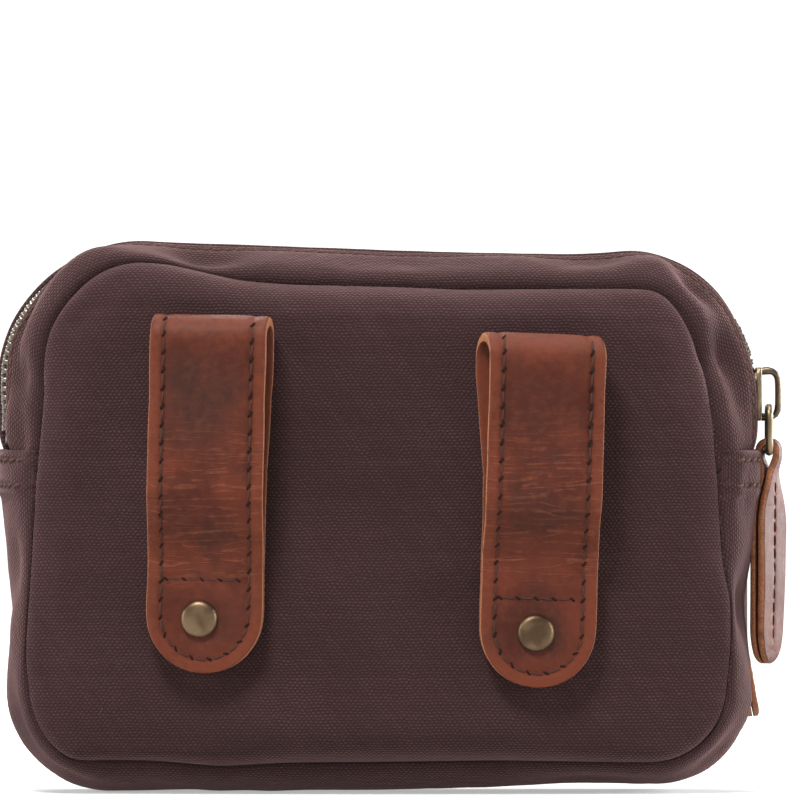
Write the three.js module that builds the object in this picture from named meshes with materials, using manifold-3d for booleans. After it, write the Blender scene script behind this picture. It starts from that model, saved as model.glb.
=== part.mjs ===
// Zippered canvas belt pouch with two leather belt loops, a zip over its top and a zipped front pocket.
// Millimetres, +Z up. The origin is the middle of the flat base. The belt side faces -Y, the front pocket +Y.
import * as THREE from 'three';
import { mergeVertices } from 'three/addons/utils/BufferGeometryUtils.js';
import Module from 'manifold-3d';

const wasm = await Module();
wasm.setup();

// ---- driving dimensions -------------------------------------------------------------------------------

const gap = 0.3; // clearance between pieces that touch on the real object
const degree = Math.PI / 180;

const body = { halfWidth: 81.5, height: 117, topRadius: 30.9, bottomRadius: 22 };
const gusset = { flatHalf: 9, seamY: 17.9, backInset: 6.5, frontInset: 1.5, wall: 1.8, top: 74 };
const gussetRun = 9; // how far the gusset takes, along Y, to curve in to each seam
const pathSteps = 40;

const crown = { radius: 472, thickness: 2.5, outerY: -26.8, inset: 6.5, rim: 2.2, rimY: -18.2 }; // back panel
const front = { outerY: 20.5, thickness: 1.2, inset: 1.6, liningDepth: 3.3, liningInset: 2.5 };
const liningCloth = 0.6;
const pocketBacking = { near: 11.2, far: 12, inset: 5, low: 4 };
const hingeZ = 75.3; // height of the fold that the front panel opens about

// Every zip: depths are measured inwards from the canvas face, widths from the middle of the chain.
const chain = { stripEdge: 5.6, tapeIn: 1.5, tapeOut: 2.0, tapeNear: 2.6, tapeFar: 9 };
const teeth = { near: 1.0, far: 2.3, top: 0.55, bottom: 2.95 };
const strip = { thickness: 1.2, start: 74.6 };
const teethEnds = { left: 77.6, backRight: 79.6, frontCorner: 12.8 * degree }; // the front row stops above the slider
const stop = { near: 1.3, far: 3.7, outer: 0.95, inner: 2.55, wall: 0.25, web: 1, low: 77.5, length: 1.9 };
const bottomStop = { outer: 0.7, inner: 2.8, half: 2.3, low: 75.4, high: 77.2 };

const slider = { length: 11.6, halfWidth: 4.8, top: -1.2, channelTop: 0.2, channelBottom: 3.85, bottom: 5.1 };
const slot = { top: 0.75, bottom: 3.3, inner: 3.8 }; // where the tapes pass out of the slider's sides
const post = { halfWidth: 0.7, length: 2.4 }; // the wedge between the slider's plates
const bridge = { foot: -1.5, inner: -4.1, outer: -5.5, halfWidth: 1.1, length: 11, eyeHalf: 4.1 };
const wire = 0.8; // radius of the pull rings' wire
const ring = { width: 10, drop: 9.7, corner: 2.2, depth: -2.8, eyeShift: -2.9 };
const tab = { layer: 1.4, inner: 1.05, neckHalf: 2.8, halfWidth: 6.5, length: 48.5, neck: 5, shoulder: 12 };

const sliderZ = body.height - body.topRadius; // the main slider rests where the right corner begins
const pocketZ = 68.5; // height of the front pocket's zip
const pocketSliderX = 71.7;
const pocketTabLean = 5 * degree;

const loop = { width: 25, leather: 2.2, gap: 6.4, joinTop: 66, joinBottom: 49 };
const seat = { above: 1, skive: 0.1 }; // below the belt's seat the back layer is pared a little thinner
const loops = {
  left: { x: -37.7, top: 103.3, bottom: 26.1, lean: 1.3 * degree, rivetZ: 37.8 },
  right: { x: 33.5, top: 99.3, bottom: 23.0, lean: 1.65 * degree, rivetZ: 34.8 },
};
const rivet = { capRadius: 4, capHeight: 1.3, stem: 1.25, hole: 1.6, flange: 3.6, flangeHeight: 0.6 };

// ---- materials ----------------------------------------------------------------------------------------

const finish = (color, roughness, metalness) => () =>
  new THREE.MeshStandardMaterial({ color, roughness, metalness });
const canvas = finish(0x4e3a3a, 0.95, 0);
const lining = finish(0x3b3236, 0.9, 0);
const tapeCloth = finish(0x2c2226, 0.9, 0);
const leather = finish(0x74392a, 0.55, 0);
const brass = finish(0x8a7355, 0.4, 0.9);
const nickel = finish(0x8c8983, 0.35, 0.95);

// ---- helpers ------------------------------------------------------------------------------------------

const model = new THREE.Group();

function addMesh(name, geometry, material, parent = model) {
  const mesh = new THREE.Mesh(geometry, material());
  mesh.name = name;
  parent.add(mesh);
  return mesh;
}

function toSolid(geometry) {
  const bare = geometry.index ? geometry.toNonIndexed() : geometry.clone();
  bare.deleteAttribute('normal');
  bare.deleteAttribute('uv');
  const merged = mergeVertices(bare, 1e-4);
  const vertProperties = new Float32Array(merged.attributes.position.array);
  const triVerts = new Uint32Array(merged.index.array);
  return new wasm.Manifold(new wasm.Mesh({ numProp: 3, vertProperties, triVerts }));
}

function toGeometry(solid) {
  const mesh = solid.getMesh();
  const geometry = new THREE.BufferGeometry();
  geometry.setAttribute('position', new THREE.BufferAttribute(mesh.vertProperties, 3));
  geometry.setIndex(new THREE.BufferAttribute(mesh.triVerts, 1));
  geometry.computeVertexNormals();
  return geometry;
}

function box(x0, x1, y0, y1, z0, z1) {
  const geometry = new THREE.BoxGeometry(x1 - x0, y1 - y0, z1 - z0);
  return geometry.translate((x0 + x1) / 2, (y0 + y1) / 2, (z0 + z1) / 2);
}

// A shape drawn in X and Z, pushed along Y from y0 to y1.
function plateXZ(shape, y0, y1, curveSegments = 8) {
  const geometry = new THREE.ExtrudeGeometry(shape, { depth: y1 - y0, bevelEnabled: false, curveSegments });
  return geometry.rotateX(Math.PI / 2).translate(0, y1, 0);
}

// A shape drawn in Y and Z, pushed along X from x0 to x1.
function plateYZ(shape, x0, x1, curveSegments = 8) {
  const geometry = new THREE.ExtrudeGeometry(shape, { depth: x1 - x0, bevelEnabled: false, curveSegments });
  const turn = new THREE.Matrix4().makeBasis(
    new THREE.Vector3(0, 1, 0),
    new THREE.Vector3(0, 0, 1),
    new THREE.Vector3(1, 0, 0),
  );
  return geometry.applyMatrix4(turn).translate(x0, 0, 0);
}

// ---- the pouch's outline, and cloth bands that follow it ------------------------------------------------

function outlineShape(inset) {
  const half = body.halfWidth - inset;
  const top = body.height - inset;
  const upper = body.topRadius - inset;
  const lower = body.bottomRadius - inset;
  const shape = new THREE.Shape();
  shape.absarc(half - upper, top - upper, upper, 0, Math.PI / 2, false);
  shape.absarc(-half + upper, top - upper, upper, Math.PI / 2, Math.PI, false);
  shape.absarc(-half + lower, inset + lower, lower, Math.PI, 1.5 * Math.PI, false);
  shape.absarc(half - lower, inset + lower, lower, 1.5 * Math.PI, 2 * Math.PI, false);
  shape.closePath();
  return shape;
}

class FlatPath extends THREE.Curve {
  constructor(path) {
    super();
    this.path = path;
  }

  getPoint(t, target = new THREE.Vector3()) {
    const point = this.path.getPoint(t);
    return target.set(point.x, 0, point.y);
  }
}

// Down the right side, under the base and up the left side.
function lowerPath(top) {
  const { halfWidth, bottomRadius } = body;
  const path = new THREE.Path();
  path.moveTo(halfWidth, top);
  path.lineTo(halfWidth, bottomRadius);
  path.absarc(halfWidth - bottomRadius, bottomRadius, bottomRadius, 0, -Math.PI / 2, true);
  path.lineTo(-halfWidth + bottomRadius, 0);
  path.absarc(-halfWidth + bottomRadius, bottomRadius, bottomRadius, -Math.PI / 2, -Math.PI, true);
  path.lineTo(-halfWidth, top);
  return new FlatPath(path);
}

// Up the left side, over the top and down the right side, to a height or to an angle on the right corner.
function upperPath(leftStart, rightEnd, cornerEnd = 0) {
  const { halfWidth, height, topRadius } = body;
  const path = new THREE.Path();
  path.moveTo(-halfWidth, leftStart);
  path.lineTo(-halfWidth, height - topRadius);
  path.absarc(-halfWidth + topRadius, height - topRadius, topRadius, Math.PI, Math.PI / 2, true);
  path.lineTo(halfWidth - topRadius, height);
  path.absarc(halfWidth - topRadius, height - topRadius, topRadius, Math.PI / 2, cornerEnd, true);
  if (cornerEnd === 0) path.lineTo(halfWidth, rightEnd);
  return new FlatPath(path);
}

// A band is a section, given as [depth inwards, y] points, swept along a path round the pouch.
function band(path, section, steps = pathSteps) {
  const shape = new THREE.Shape(section.map(([depth, y]) => new THREE.Vector2(-y, depth)));
  return new THREE.ExtrudeGeometry(shape, { extrudePath: path, steps, bevelEnabled: false });
}

function strapSection(top, bottom, y0, y1) {
  return [[top, y0], [top, y1], [bottom, y1], [bottom, y0]];
}

// One point of the curved wall: angle 0 is where it leaves the flat middle, side is -1 at the back.
function wallPoint(side, angle, depth) {
  const inset = side < 0 ? gusset.backInset : gusset.frontInset;
  const tangent = new THREE.Vector2(inset * Math.sin(angle), gussetRun * Math.cos(angle)).normalize();
  const y = gusset.flatHalf + gussetRun * Math.sin(angle) - depth * tangent.x;
  return [inset * (1 - Math.cos(angle)) + depth * tangent.y, side * y];
}

const seamAngle = Math.asin((gusset.seamY - gusset.flatHalf) / gussetRun);

function curvedWall(side, depth, segments = 3) {
  return Array.from({ length: segments + 1 }, (_, i) => wallPoint(side, (seamAngle * i) / segments, depth));
}

// The full wall from seam to seam, or one half of it from the edge beside the zip to its seam.
function gussetSection(top, bottom) {
  const outer = [...curvedWall(-1, top).reverse(), ...curvedWall(1, top)];
  const inner = [...curvedWall(1, bottom).reverse(), ...curvedWall(-1, bottom)];
  return [...outer, ...inner];
}

function stripSection(side) {
  const outer = [[0, side * chain.stripEdge], ...curvedWall(side, 0)];
  const inner = [...curvedWall(side, strip.thickness).reverse(), [strip.thickness, side * chain.stripEdge]];
  return [...outer, ...inner];
}

// ---- belt loops and their rivets ------------------------------------------------------------------------

// Outward distance from the panel of a point on one face of the loop's front layer.
function easeOut(face, raised, t) {
  const ease = t * t * (3 - 2 * t);
  return face + (raised - face) * ease;
}

// The folded strip, drawn as outward distance and height: it goes up behind and comes down in front.
function loopSection(top, bottom, joinTop, joinBottom) {
  const { leather: thick, gap: belt } = loop;
  const fold = thick + belt / 2;
  const middle = gap + fold;
  const foldZ = top - fold;
  const raised = middle + fold;
  const closed = 2 * (gap + thick);
  const shape = new THREE.Shape();
  const joins = [0.75, 0.5, 0.25, 0];
  const joinZ = (t) => joinBottom + (joinTop - joinBottom) * t;
  shape.moveTo(-gap, bottom);
  shape.lineTo(-gap, foldZ);
  shape.absarc(-middle, foldZ, fold, 0, Math.PI, false);
  shape.lineTo(-raised, joinTop);
  joins.forEach((t) => shape.lineTo(-easeOut(closed, raised, t), joinZ(t)));
  shape.lineTo(-closed, bottom);
  shape.lineTo(-closed + thick, bottom);
  [...joins].reverse().forEach((t) => shape.lineTo(-easeOut(closed - thick, raised - thick, t), joinZ(t)));
  shape.lineTo(-raised + thick, joinTop);
  shape.lineTo(-raised + thick, foldZ);
  shape.absarc(-middle, foldZ, belt / 2, Math.PI, 0, true);
  shape.lineTo(-gap - thick, joinTop + seat.above);
  shape.lineTo(-gap - thick + seat.skive, joinTop + seat.above);
  shape.lineTo(-gap - thick + seat.skive, bottom);
  shape.closePath();
  return shape;
}

function loopOutline(top, bottom) {
  const half = loop.width / 2;
  const shape = new THREE.Shape();
  shape.moveTo(half, top + 1);
  shape.lineTo(-half, top + 1);
  shape.absarc(0, bottom + half, half, Math.PI, 2 * Math.PI, false);
  shape.closePath();
  return shape;
}

function alongY(radius, y0, y1, z, sides = 16) {
  const geometry = new THREE.CylinderGeometry(radius, radius, y1 - y0, sides);
  return geometry.translate(0, (y0 + y1) / 2, z);
}

// The frame of one belt loop: its origin is on the panel's face, and -Y points straight out of it.
function loopFrame(spec) {
  const turn = Math.asin(spec.x / crown.radius);
  const frame = new THREE.Group();
  const centreY = crown.outerY + crown.radius;
  frame.position.set(spec.x, centreY - crown.radius * Math.cos(turn), 0);
  frame.rotation.z = turn;
  return frame;
}

function addBeltLoop(side, spec) {
  const frame = loopFrame(spec);
  const lean = new THREE.Group();
  lean.position.z = spec.rivetZ;
  lean.rotation.y = spec.lean;
  frame.add(lean);
  model.add(frame);
  const top = spec.top - spec.rivetZ;
  const bottom = spec.bottom - spec.rivetZ;
  const section = loopSection(top, bottom, loop.joinTop - spec.rivetZ, loop.joinBottom - spec.rivetZ);
  const folded = toSolid(plateYZ(section, -loop.width / 2, loop.width / 2, 8));
  const outline = toSolid(plateXZ(loopOutline(top, bottom), -20, 1, 12));
  const hole = toSolid(alongY(rivet.hole, -20, 1, 0));
  addMesh(`belt_loop_${side}`, toGeometry(folded.intersect(outline).subtract(hole)), leather, lean);
  addRivet(side, lean);
}

function addRivet(side, parent) {
  const leatherFace = 2 * (gap + loop.leather);
  const { capRadius, capHeight, stem, flange, flangeHeight } = rivet;
  const capSeat = leatherFace + gap;
  const dome = [[0, 0], [capRadius, 0], [capRadius, 0.5], [0.8 * capRadius, capHeight - 0.3], [0, capHeight]];
  const cap = new THREE.LatheGeometry(dome.map(([r, h]) => new THREE.Vector2(r, h)), 20);
  addMesh(`rivet_cap_${side}`, cap.rotateX(Math.PI).translate(0, -capSeat, 0), brass, parent);
  const inside = crown.thickness + gap;
  const stemTop = capSeat - gap;
  const profile = [
    [0, -inside - flangeHeight],
    [flange, -inside - flangeHeight],
    [flange, -inside],
    [stem, -inside],
    [stem, stemTop],
    [0, stemTop],
  ];
  const tube = new THREE.LatheGeometry(profile.map(([r, h]) => new THREE.Vector2(r, h)), 16);
  addMesh(`rivet_post_${side}`, tube.rotateX(Math.PI), brass, parent);
}

// ---- sliders, rings and pull tabs -----------------------------------------------------------------------

// A slider stands with its travel along Z, its nose down, and its outer face towards +X. Depths are inwards.
function sliderBodySolid() {
  const { length, halfWidth, top, channelTop, channelBottom, bottom } = slider;
  const half = length / 2;
  const block = (d0, d1, y0, y1, z0, z1) => toSolid(box(-d1, -d0, y0, y1, z0, z1));
  const plates = [
    block(top, channelTop, -halfWidth, halfWidth, -half, half),
    block(channelBottom, bottom, -halfWidth, halfWidth, -half, half),
    block(top, bottom, -post.halfWidth, post.halfWidth, -half, -half + post.length),
  ];
  const lips = [-1, 1].flatMap((side) => {
    const near = Math.min(side * slot.inner, side * halfWidth);
    const far = Math.max(side * slot.inner, side * halfWidth);
    return [
      block(top, slot.top, near, far, -half, half),
      block(slot.bottom, bottom, near, far, -half, half),
    ];
  });
  return [...plates, ...lips].reduce((whole, piece) => whole.add(piece));
}

function crownShape() {
  const { foot, inner, outer, length, eyeHalf } = bridge;
  const half = length / 2;
  const shape = new THREE.Shape();
  shape.moveTo(-foot, -half);
  shape.bezierCurveTo(-outer - 1, -half, -outer, -half + 1.5, -outer, -half + 3);
  shape.lineTo(-outer, half - 3);
  shape.bezierCurveTo(-outer, half - 1.5, -outer - 1, half, -foot, half);
  shape.lineTo(-foot, eyeHalf);
  shape.bezierCurveTo(-inner - 0.5, eyeHalf, -inner, eyeHalf - 0.8, -inner, eyeHalf - 1.6);
  shape.lineTo(-inner, -eyeHalf + 1.2);
  shape.lineTo(-inner - 0.5, -eyeHalf);
  shape.lineTo(-foot, -eyeHalf);
  shape.closePath();
  return shape;
}

function crownGeometry() {
  return plateXZ(crownShape(), -bridge.halfWidth, bridge.halfWidth, 4);
}

// A ring drawn in Y and Z, with the middle of its top run at the origin.
function ringGeometry() {
  const { width, drop, corner } = ring;
  const half = width / 2;
  const path = new THREE.Path();
  path.moveTo(0, 0);
  path.lineTo(half - corner, 0);
  path.absarc(half - corner, -corner, corner, Math.PI / 2, 0, true);
  path.lineTo(half, -drop + corner);
  path.absarc(half - corner, -drop + corner, corner, 0, -Math.PI / 2, true);
  path.lineTo(-half + corner, -drop);
  path.absarc(-half + corner, -drop + corner, corner, -Math.PI / 2, -Math.PI, true);
  path.lineTo(-half, -corner);
  path.absarc(-half + corner, -corner, corner, Math.PI, Math.PI / 2, true);
  path.closePath();
  return ringFromPath(path);
}

// The wire is swept round most of the ring and its two ends overlap in one run, then they are joined.
function ringFromPath(path) {
  const section = new THREE.Shape();
  section.absarc(0, 0, wire, 0, 2 * Math.PI, false);
  const points = path.getSpacedPoints(48);
  const half = Math.floor(points.length / 2);
  const overlap = 1;
  const first = points.slice(0, half + 1 + overlap);
  const second = [...points.slice(half), ...points.slice(1, 1 + overlap)];
  const halves = [first, second].map((run) => {
    const curve = new PolylineYZ(run);
    const options = { extrudePath: curve, steps: run.length - 1, bevelEnabled: false, curveSegments: 8 };
    return toSolid(new THREE.ExtrudeGeometry(section, options));
  });
  return toGeometry(halves[0].add(halves[1]));
}

class PolylineYZ extends THREE.Curve {
  constructor(points) {
    super();
    this.points = points;
  }

  getPoint(t, target = new THREE.Vector3()) {
    const place = t * (this.points.length - 1);
    const index = Math.min(Math.floor(place), this.points.length - 2);
    const a = this.points[index];
    const b = this.points[index + 1];
    const part = place - index;
    return target.set(0, a.x + (b.x - a.x) * part, a.y + (b.y - a.y) * part);
  }
}

// A strip folded over the ring's lower run, which is at the origin, and hanging down from it in two layers.
function tabGeometry() {
  const { layer, inner, neckHalf, halfWidth, length, neck, shoulder } = tab;
  const outer = inner + layer;
  const slit = gap / 2;
  const low = -length;
  const fold = new THREE.Shape();
  fold.absarc(0, 0, outer, 0, Math.PI, false);
  fold.lineTo(-slit - layer, -neck);
  fold.lineTo(-slit - layer, low);
  fold.lineTo(-slit, low);
  fold.lineTo(-slit, -neck + 1);
  fold.absarc(0, 0, inner, Math.PI, 0, true);
  fold.lineTo(slit, -neck + 1);
  fold.lineTo(slit, low);
  fold.lineTo(slit + layer, low);
  fold.lineTo(slit + layer, -neck);
  fold.closePath();
  const paddle = new THREE.Shape();
  paddle.moveTo(neckHalf, outer + 1);
  paddle.lineTo(-neckHalf, outer + 1);
  paddle.lineTo(-neckHalf, -neck + 1);
  paddle.bezierCurveTo(-neckHalf, -neck - 3, -halfWidth, -shoulder + 3, -halfWidth, -shoulder);
  paddle.absarc(0, low + halfWidth, halfWidth, Math.PI, 2 * Math.PI, false);
  paddle.lineTo(halfWidth, -shoulder);
  paddle.bezierCurveTo(halfWidth, -shoulder + 3, neckHalf, -neck - 3, neckHalf, -neck + 1);
  paddle.closePath();
  const folded = toSolid(plateXZ(fold, -halfWidth - 1, halfWidth + 1, 6));
  return toGeometry(folded.intersect(toSolid(plateYZ(paddle, -outer - 1, outer + 1, 6))));
}

// ---- the main body --------------------------------------------------------------------------------------

function rivetHoles() {
  return Object.values(loops).map((spec) => {
    const frame = loopFrame(spec);
    frame.updateMatrix();
    return toSolid(alongY(rivet.hole, -5, 10, spec.rivetZ).applyMatrix4(frame.matrix));
  });
}

// What lies between a bowed face and a flat floor behind it, inside the pouch's outline.
function bowedBlock(radius, inset, floorY) {
  const centreY = crown.outerY + crown.radius;
  const spread = 0.175;
  const down = -Math.PI / 2;
  const shape = new THREE.Shape();
  shape.absarc(0, centreY, radius, down - spread, down + spread, false);
  shape.lineTo(radius * Math.sin(spread), floorY);
  shape.lineTo(-radius * Math.sin(spread), floorY);
  shape.closePath();
  const options = { depth: body.height, bevelEnabled: false, curveSegments: 14 };
  const block = toSolid(new THREE.ExtrudeGeometry(shape, options));
  return block.intersect(toSolid(plateXZ(outlineShape(inset), -40, 0, 6)));
}

// The panel is a bowed face with a rim that comes forward to the gusset's seam.
function addBack() {
  const { radius, thickness, inset, rim, rimY } = crown;
  const hollow = bowedBlock(radius - thickness, inset + rim, rimY + 4);
  const tray = bowedBlock(radius, inset, rimY).subtract(hollow);
  const panel = rivetHoles().reduce((solid, hole) => solid.subtract(hole), tray);
  addMesh('back_panel', toGeometry(panel), canvas);
  const liningOuter = bowedBlock(radius - thickness - 1.5, inset + rim + gap, rimY + 4);
  const liningInner = bowedBlock(radius - thickness - 2.1, inset + rim - 1, rimY + 5);
  addMesh('back_lining', toGeometry(liningOuter.subtract(liningInner)), lining);
}

function addGusset() {
  const section = gussetSection(0, gusset.wall);
  addMesh('lower_gusset', band(lowerPath(gusset.top), section), canvas);
  const depth = gusset.wall + gap;
  const inside = strapSection(depth, depth + liningCloth, -gusset.flatHalf, gusset.flatHalf);
  addMesh('gusset_lining', band(lowerPath(gusset.top - 1), inside), lining);
}

// One half of the top, from the zip to its seam: canvas strip, tape and the row of teeth on its edge.
function addZipHalf(name, side, teethPath) {
  const path = upperPath(strip.start, strip.start);
  addMesh(`${name}_zip_strip`, band(path, stripSection(side)), canvas);
  const tape = strapSection(chain.tapeIn, chain.tapeOut, side * chain.tapeNear, side * chain.tapeFar);
  addMesh(`${name}_zip_tape`, band(path, tape), tapeCloth);
  const row = strapSection(teeth.top, teeth.bottom, side * teeth.near, side * teeth.far);
  addMesh(`${name}_zip_teeth`, band(teethPath, row), brass);
}

// A stop clamped over the edge of a tape, drawn as depth and distance from the middle of the chain.
function stopShape(side) {
  const shape = new THREE.Shape();
  const { near, far, outer, inner, wall, web } = stop;
  const slotTop = outer + wall;
  const slotBottom = inner - wall;
  const back = near + web;
  const points = [[outer, near], [outer, far], [slotTop, far], [slotTop, back], [slotBottom, back],
    [slotBottom, far], [inner, far], [inner, near]];
  points.forEach(([depth, y], i) => (i ? shape.lineTo(-depth, side * y) : shape.moveTo(-depth, side * y)));
  shape.closePath();
  return shape;
}

function topStop(side) {
  return new THREE.ExtrudeGeometry(stopShape(side), { depth: stop.length, bevelEnabled: false });
}

function addMainZip() {
  addZipHalf('back', -1, upperPath(teethEnds.left, teethEnds.backRight));
  addZipHalf('front', 1, upperPath(teethEnds.left, 0, teethEnds.frontCorner));
  const left = -body.halfWidth;
  const { outer, inner, half, low, high } = bottomStop;
  addMesh('main_zip_bottom_stop', box(left + outer, left + inner, -half, half, low, high), nickel);
  for (const [name, side] of [['back', -1], ['front', 1]]) {
    const clamp = addMesh(`main_zip_top_stop_${name}`, topStop(side), nickel);
    clamp.position.set(body.halfWidth, 0, stop.low);
  }
}

function addMainPull() {
  const group = new THREE.Group();
  group.position.set(body.halfWidth, 0, sliderZ);
  model.add(group);
  addMesh('slider_body', toGeometry(sliderBodySolid()), brass, group);
  addMesh('slider_crown', crownGeometry(), brass, group);
  const pull = addMesh('pull_ring', ringGeometry(), brass, group);
  pull.position.set(-ring.depth, 0, ring.eyeShift);
  const leatherTab = addMesh('pull_tab', tabGeometry(), leather, group);
  leatherTab.position.set(-ring.depth, 0, ring.eyeShift - ring.drop);
}

// ---- the front and its pocket ---------------------------------------------------------------------------

function frontPlate(y0, y1, inset, z0, z1) {
  const plate = toSolid(plateXZ(outlineShape(inset), y0, y1, 6));
  return toGeometry(plate.intersect(toSolid(box(-100, 100, y0 - 1, y1 + 1, z0, z1))));
}

function addFrontPanels() {
  const { outerY, thickness, inset } = front;
  const inner = outerY - thickness;
  addMesh('front_panel_upper', frontPlate(inner, outerY, inset, hingeZ + gap, body.height), canvas);
  addMesh('front_pocket_panel', frontPlate(inner, outerY, inset, 0, pocketZ - chain.stripEdge), canvas);
  const liningY = outerY - front.liningDepth;
  const liningInset = inset + front.liningInset;
  const liningTop = frontPlate(liningY, liningY + liningCloth, liningInset, hingeZ + 1, body.height);
  addMesh('front_lining_upper', liningTop, lining);
  const { near, far, inset: backingInset, low } = pocketBacking;
  addMesh('pocket_backing', frontPlate(near, far, backingInset, low, hingeZ - gap), lining);
}

function addPocketZip() {
  const { outerY } = front;
  const reach = body.halfWidth - 2;
  const rows = [['lower', -1], ['upper', 1]];
  for (const [name, side] of rows) {
    const across = (near, far) => [side * near, side * far].sort((a, b) => a - b).map((v) => pocketZ + v);
    const tapeFar = side > 0 ? hingeZ - pocketZ : chain.tapeFar;
    const [t0, t1] = across(chain.tapeNear, tapeFar);
    const tape = box(-reach, reach, outerY - chain.tapeOut, outerY - chain.tapeIn, t0, t1);
    addMesh(`pocket_zip_tape_${name}`, tape, tapeCloth);
    const [r0, r1] = across(teeth.near, teeth.far);
    const row = box(-reach + 4, reach - 2, outerY - teeth.bottom, outerY - teeth.top, r0, r1);
    addMesh(`pocket_zip_teeth_${name}`, row, brass);
  }
  const { outer, inner, half } = bottomStop;
  const block = box(-reach + 1.5, -reach + 3.3, outerY - inner, outerY - outer, pocketZ - half, pocketZ + half);
  addMesh('pocket_zip_bottom_stop', block, nickel);
}

function addPocketPull() {
  const group = new THREE.Group();
  group.position.set(pocketSliderX, front.outerY, pocketZ);
  model.add(group);
  const slideFrame = new THREE.Group();
  slideFrame.matrixAutoUpdate = false;
  slideFrame.matrix.makeBasis(
    new THREE.Vector3(0, 1, 0),
    new THREE.Vector3(0, 0, -1),
    new THREE.Vector3(-1, 0, 0),
  );
  group.add(slideFrame);
  addMesh('pocket_slider_body', toGeometry(sliderBodySolid()), brass, slideFrame);
  addMesh('pocket_slider_crown', crownGeometry(), brass, slideFrame);
  const barY = -(bridge.inner + bridge.outer) / 2;
  const offset = 2.4;
  const pull = addMesh('pocket_pull_ring', ringGeometry(), brass, group);
  pull.position.set(-ring.eyeShift, barY - offset + ring.width / 2, offset);
  const leatherTab = addMesh('pocket_pull_tab', tabGeometry(), leather, group);
  leatherTab.position.set(-ring.eyeShift, pull.position.y, offset - ring.drop);
  leatherTab.rotation.y = -pocketTabLean;
}

addBack();
addGusset();
addMainZip();
addFrontPanels();
addPocketZip();
Object.entries(loops).forEach(([side, spec]) => addBeltLoop(side, spec));
addMainPull();
addPocketPull();

export default model;
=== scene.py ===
# A zippered canvas belt pouch, seen from its belt side. Lengths in this file are millimetres, turned into
# metres where a mesh is made. X is right, Z is up, and -Y points out of the belt side.
import math

import bmesh
import bpy
import numpy as np
from mathutils import Matrix, Vector, noise


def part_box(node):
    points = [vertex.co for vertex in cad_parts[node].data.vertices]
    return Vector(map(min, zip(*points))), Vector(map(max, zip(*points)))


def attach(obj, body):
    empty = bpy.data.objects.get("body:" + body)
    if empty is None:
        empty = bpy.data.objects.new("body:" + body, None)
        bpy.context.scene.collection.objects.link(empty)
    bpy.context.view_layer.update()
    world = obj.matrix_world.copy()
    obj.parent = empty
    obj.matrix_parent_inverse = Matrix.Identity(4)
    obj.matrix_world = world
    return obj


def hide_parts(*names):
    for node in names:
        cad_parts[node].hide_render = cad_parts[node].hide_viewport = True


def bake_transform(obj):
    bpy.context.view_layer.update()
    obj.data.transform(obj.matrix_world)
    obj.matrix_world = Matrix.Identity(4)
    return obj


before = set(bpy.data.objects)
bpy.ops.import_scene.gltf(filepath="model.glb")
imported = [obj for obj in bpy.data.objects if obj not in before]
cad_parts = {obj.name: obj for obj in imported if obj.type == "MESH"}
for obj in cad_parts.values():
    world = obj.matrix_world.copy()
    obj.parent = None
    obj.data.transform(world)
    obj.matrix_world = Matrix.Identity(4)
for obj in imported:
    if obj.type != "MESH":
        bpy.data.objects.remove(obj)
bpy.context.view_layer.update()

MM = 0.001
TAU = 2 * math.pi


def edge_mm(node, corner, axis):
    """One side of a CAD node's box, in millimetres. corner is 0 for the low side and 1 for the high side."""
    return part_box(node)[corner][axis] / MM


# ---- sizes, from the frame ----

HALF = edge_mm("lower_gusset", 1, 0)
HEIGHT = edge_mm("back_zip_strip", 1, 2)
TOP_RADIUS = 30.9
BOTTOM_RADIUS = 22.0
SHOULDER_Z = HEIGHT - TOP_RADIUS
GUSSET_TOP = edge_mm("lower_gusset", 1, 2)
SEAM_BACK = edge_mm("back_panel", 1, 1)
SEAM_FRONT = edge_mm("lower_gusset", 1, 1) + 0.9
FRONT_SEAM = 1.6  # how far in the front panels' seam lies
PANEL_FRONT = edge_mm("back_panel", 0, 1)
FRONT_FACE = edge_mm("front_pocket_panel", 1, 1)
CROWN_RADIUS = 472.0
POCKET_ZIP_Z = (edge_mm("pocket_zip_teeth_lower", 0, 2) + edge_mm("pocket_zip_teeth_upper", 1, 2)) / 2
STRIP_EDGE = 5.6  # from the main zip's middle to the folded edge of the canvas beside it
CHAIN_DEPTH = 1.75

# Where the front pieces bend when the mouth opens, as the lowest and highest height in metres.
ZIP_BEND = (0.0735, 0.0885)
PANEL_BEND = (0.0745, 0.0815)


# ---- small sums ----


def clamp(value, low=0.0):
    return min(max(value, low), 1.0)


def smooth(t):
    """From 0 to 1 with a gentle start and end."""
    t = clamp(t)
    return t * t * (3 - 2 * t)


def bell(away, reach):
    """1 in the middle, falling off smoothly over about twice the reach."""
    return math.exp(-((away / reach) ** 2))


def round_over(distance, reach):
    """From 0 at an edge to 1 at reach inside it, like a quarter of a circle."""
    return math.sqrt(1 - (1 - clamp(distance / reach)) ** 2)


def spaced(start, end, step):
    count = max(2, int(math.ceil(abs(end - start) / step)) + 1)
    return np.linspace(start, end, count)


def denser(start, end, step, fine_step, reach):
    """Distances from start to end, closer together near both ends."""
    first = spaced(start, start + reach, fine_step)[:-1]
    last = spaced(end - reach, end, fine_step)[1:]
    return np.concatenate([first, spaced(start + reach, end - reach, step), last])


def ruffle(x, y, z, scale, seed):
    """Smooth noise from -1 to 1 at a place, whose lumps are about scale millimetres wide."""
    return noise.noise(Vector((x / scale + seed, y / scale, z / scale - seed)))


def slack(x, y, z, seed=0.0):
    """Soft unevenness of cloth, in millimetres."""
    broad, small = ruffle(x, y, z, 28, seed), ruffle(x, y, z, 12, seed + 7)
    return 0.62 * broad + 0.28 * small + 0.07 * ruffle(x, y, z, 4.5, seed + 3)


# ---- pieces from points ----


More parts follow.
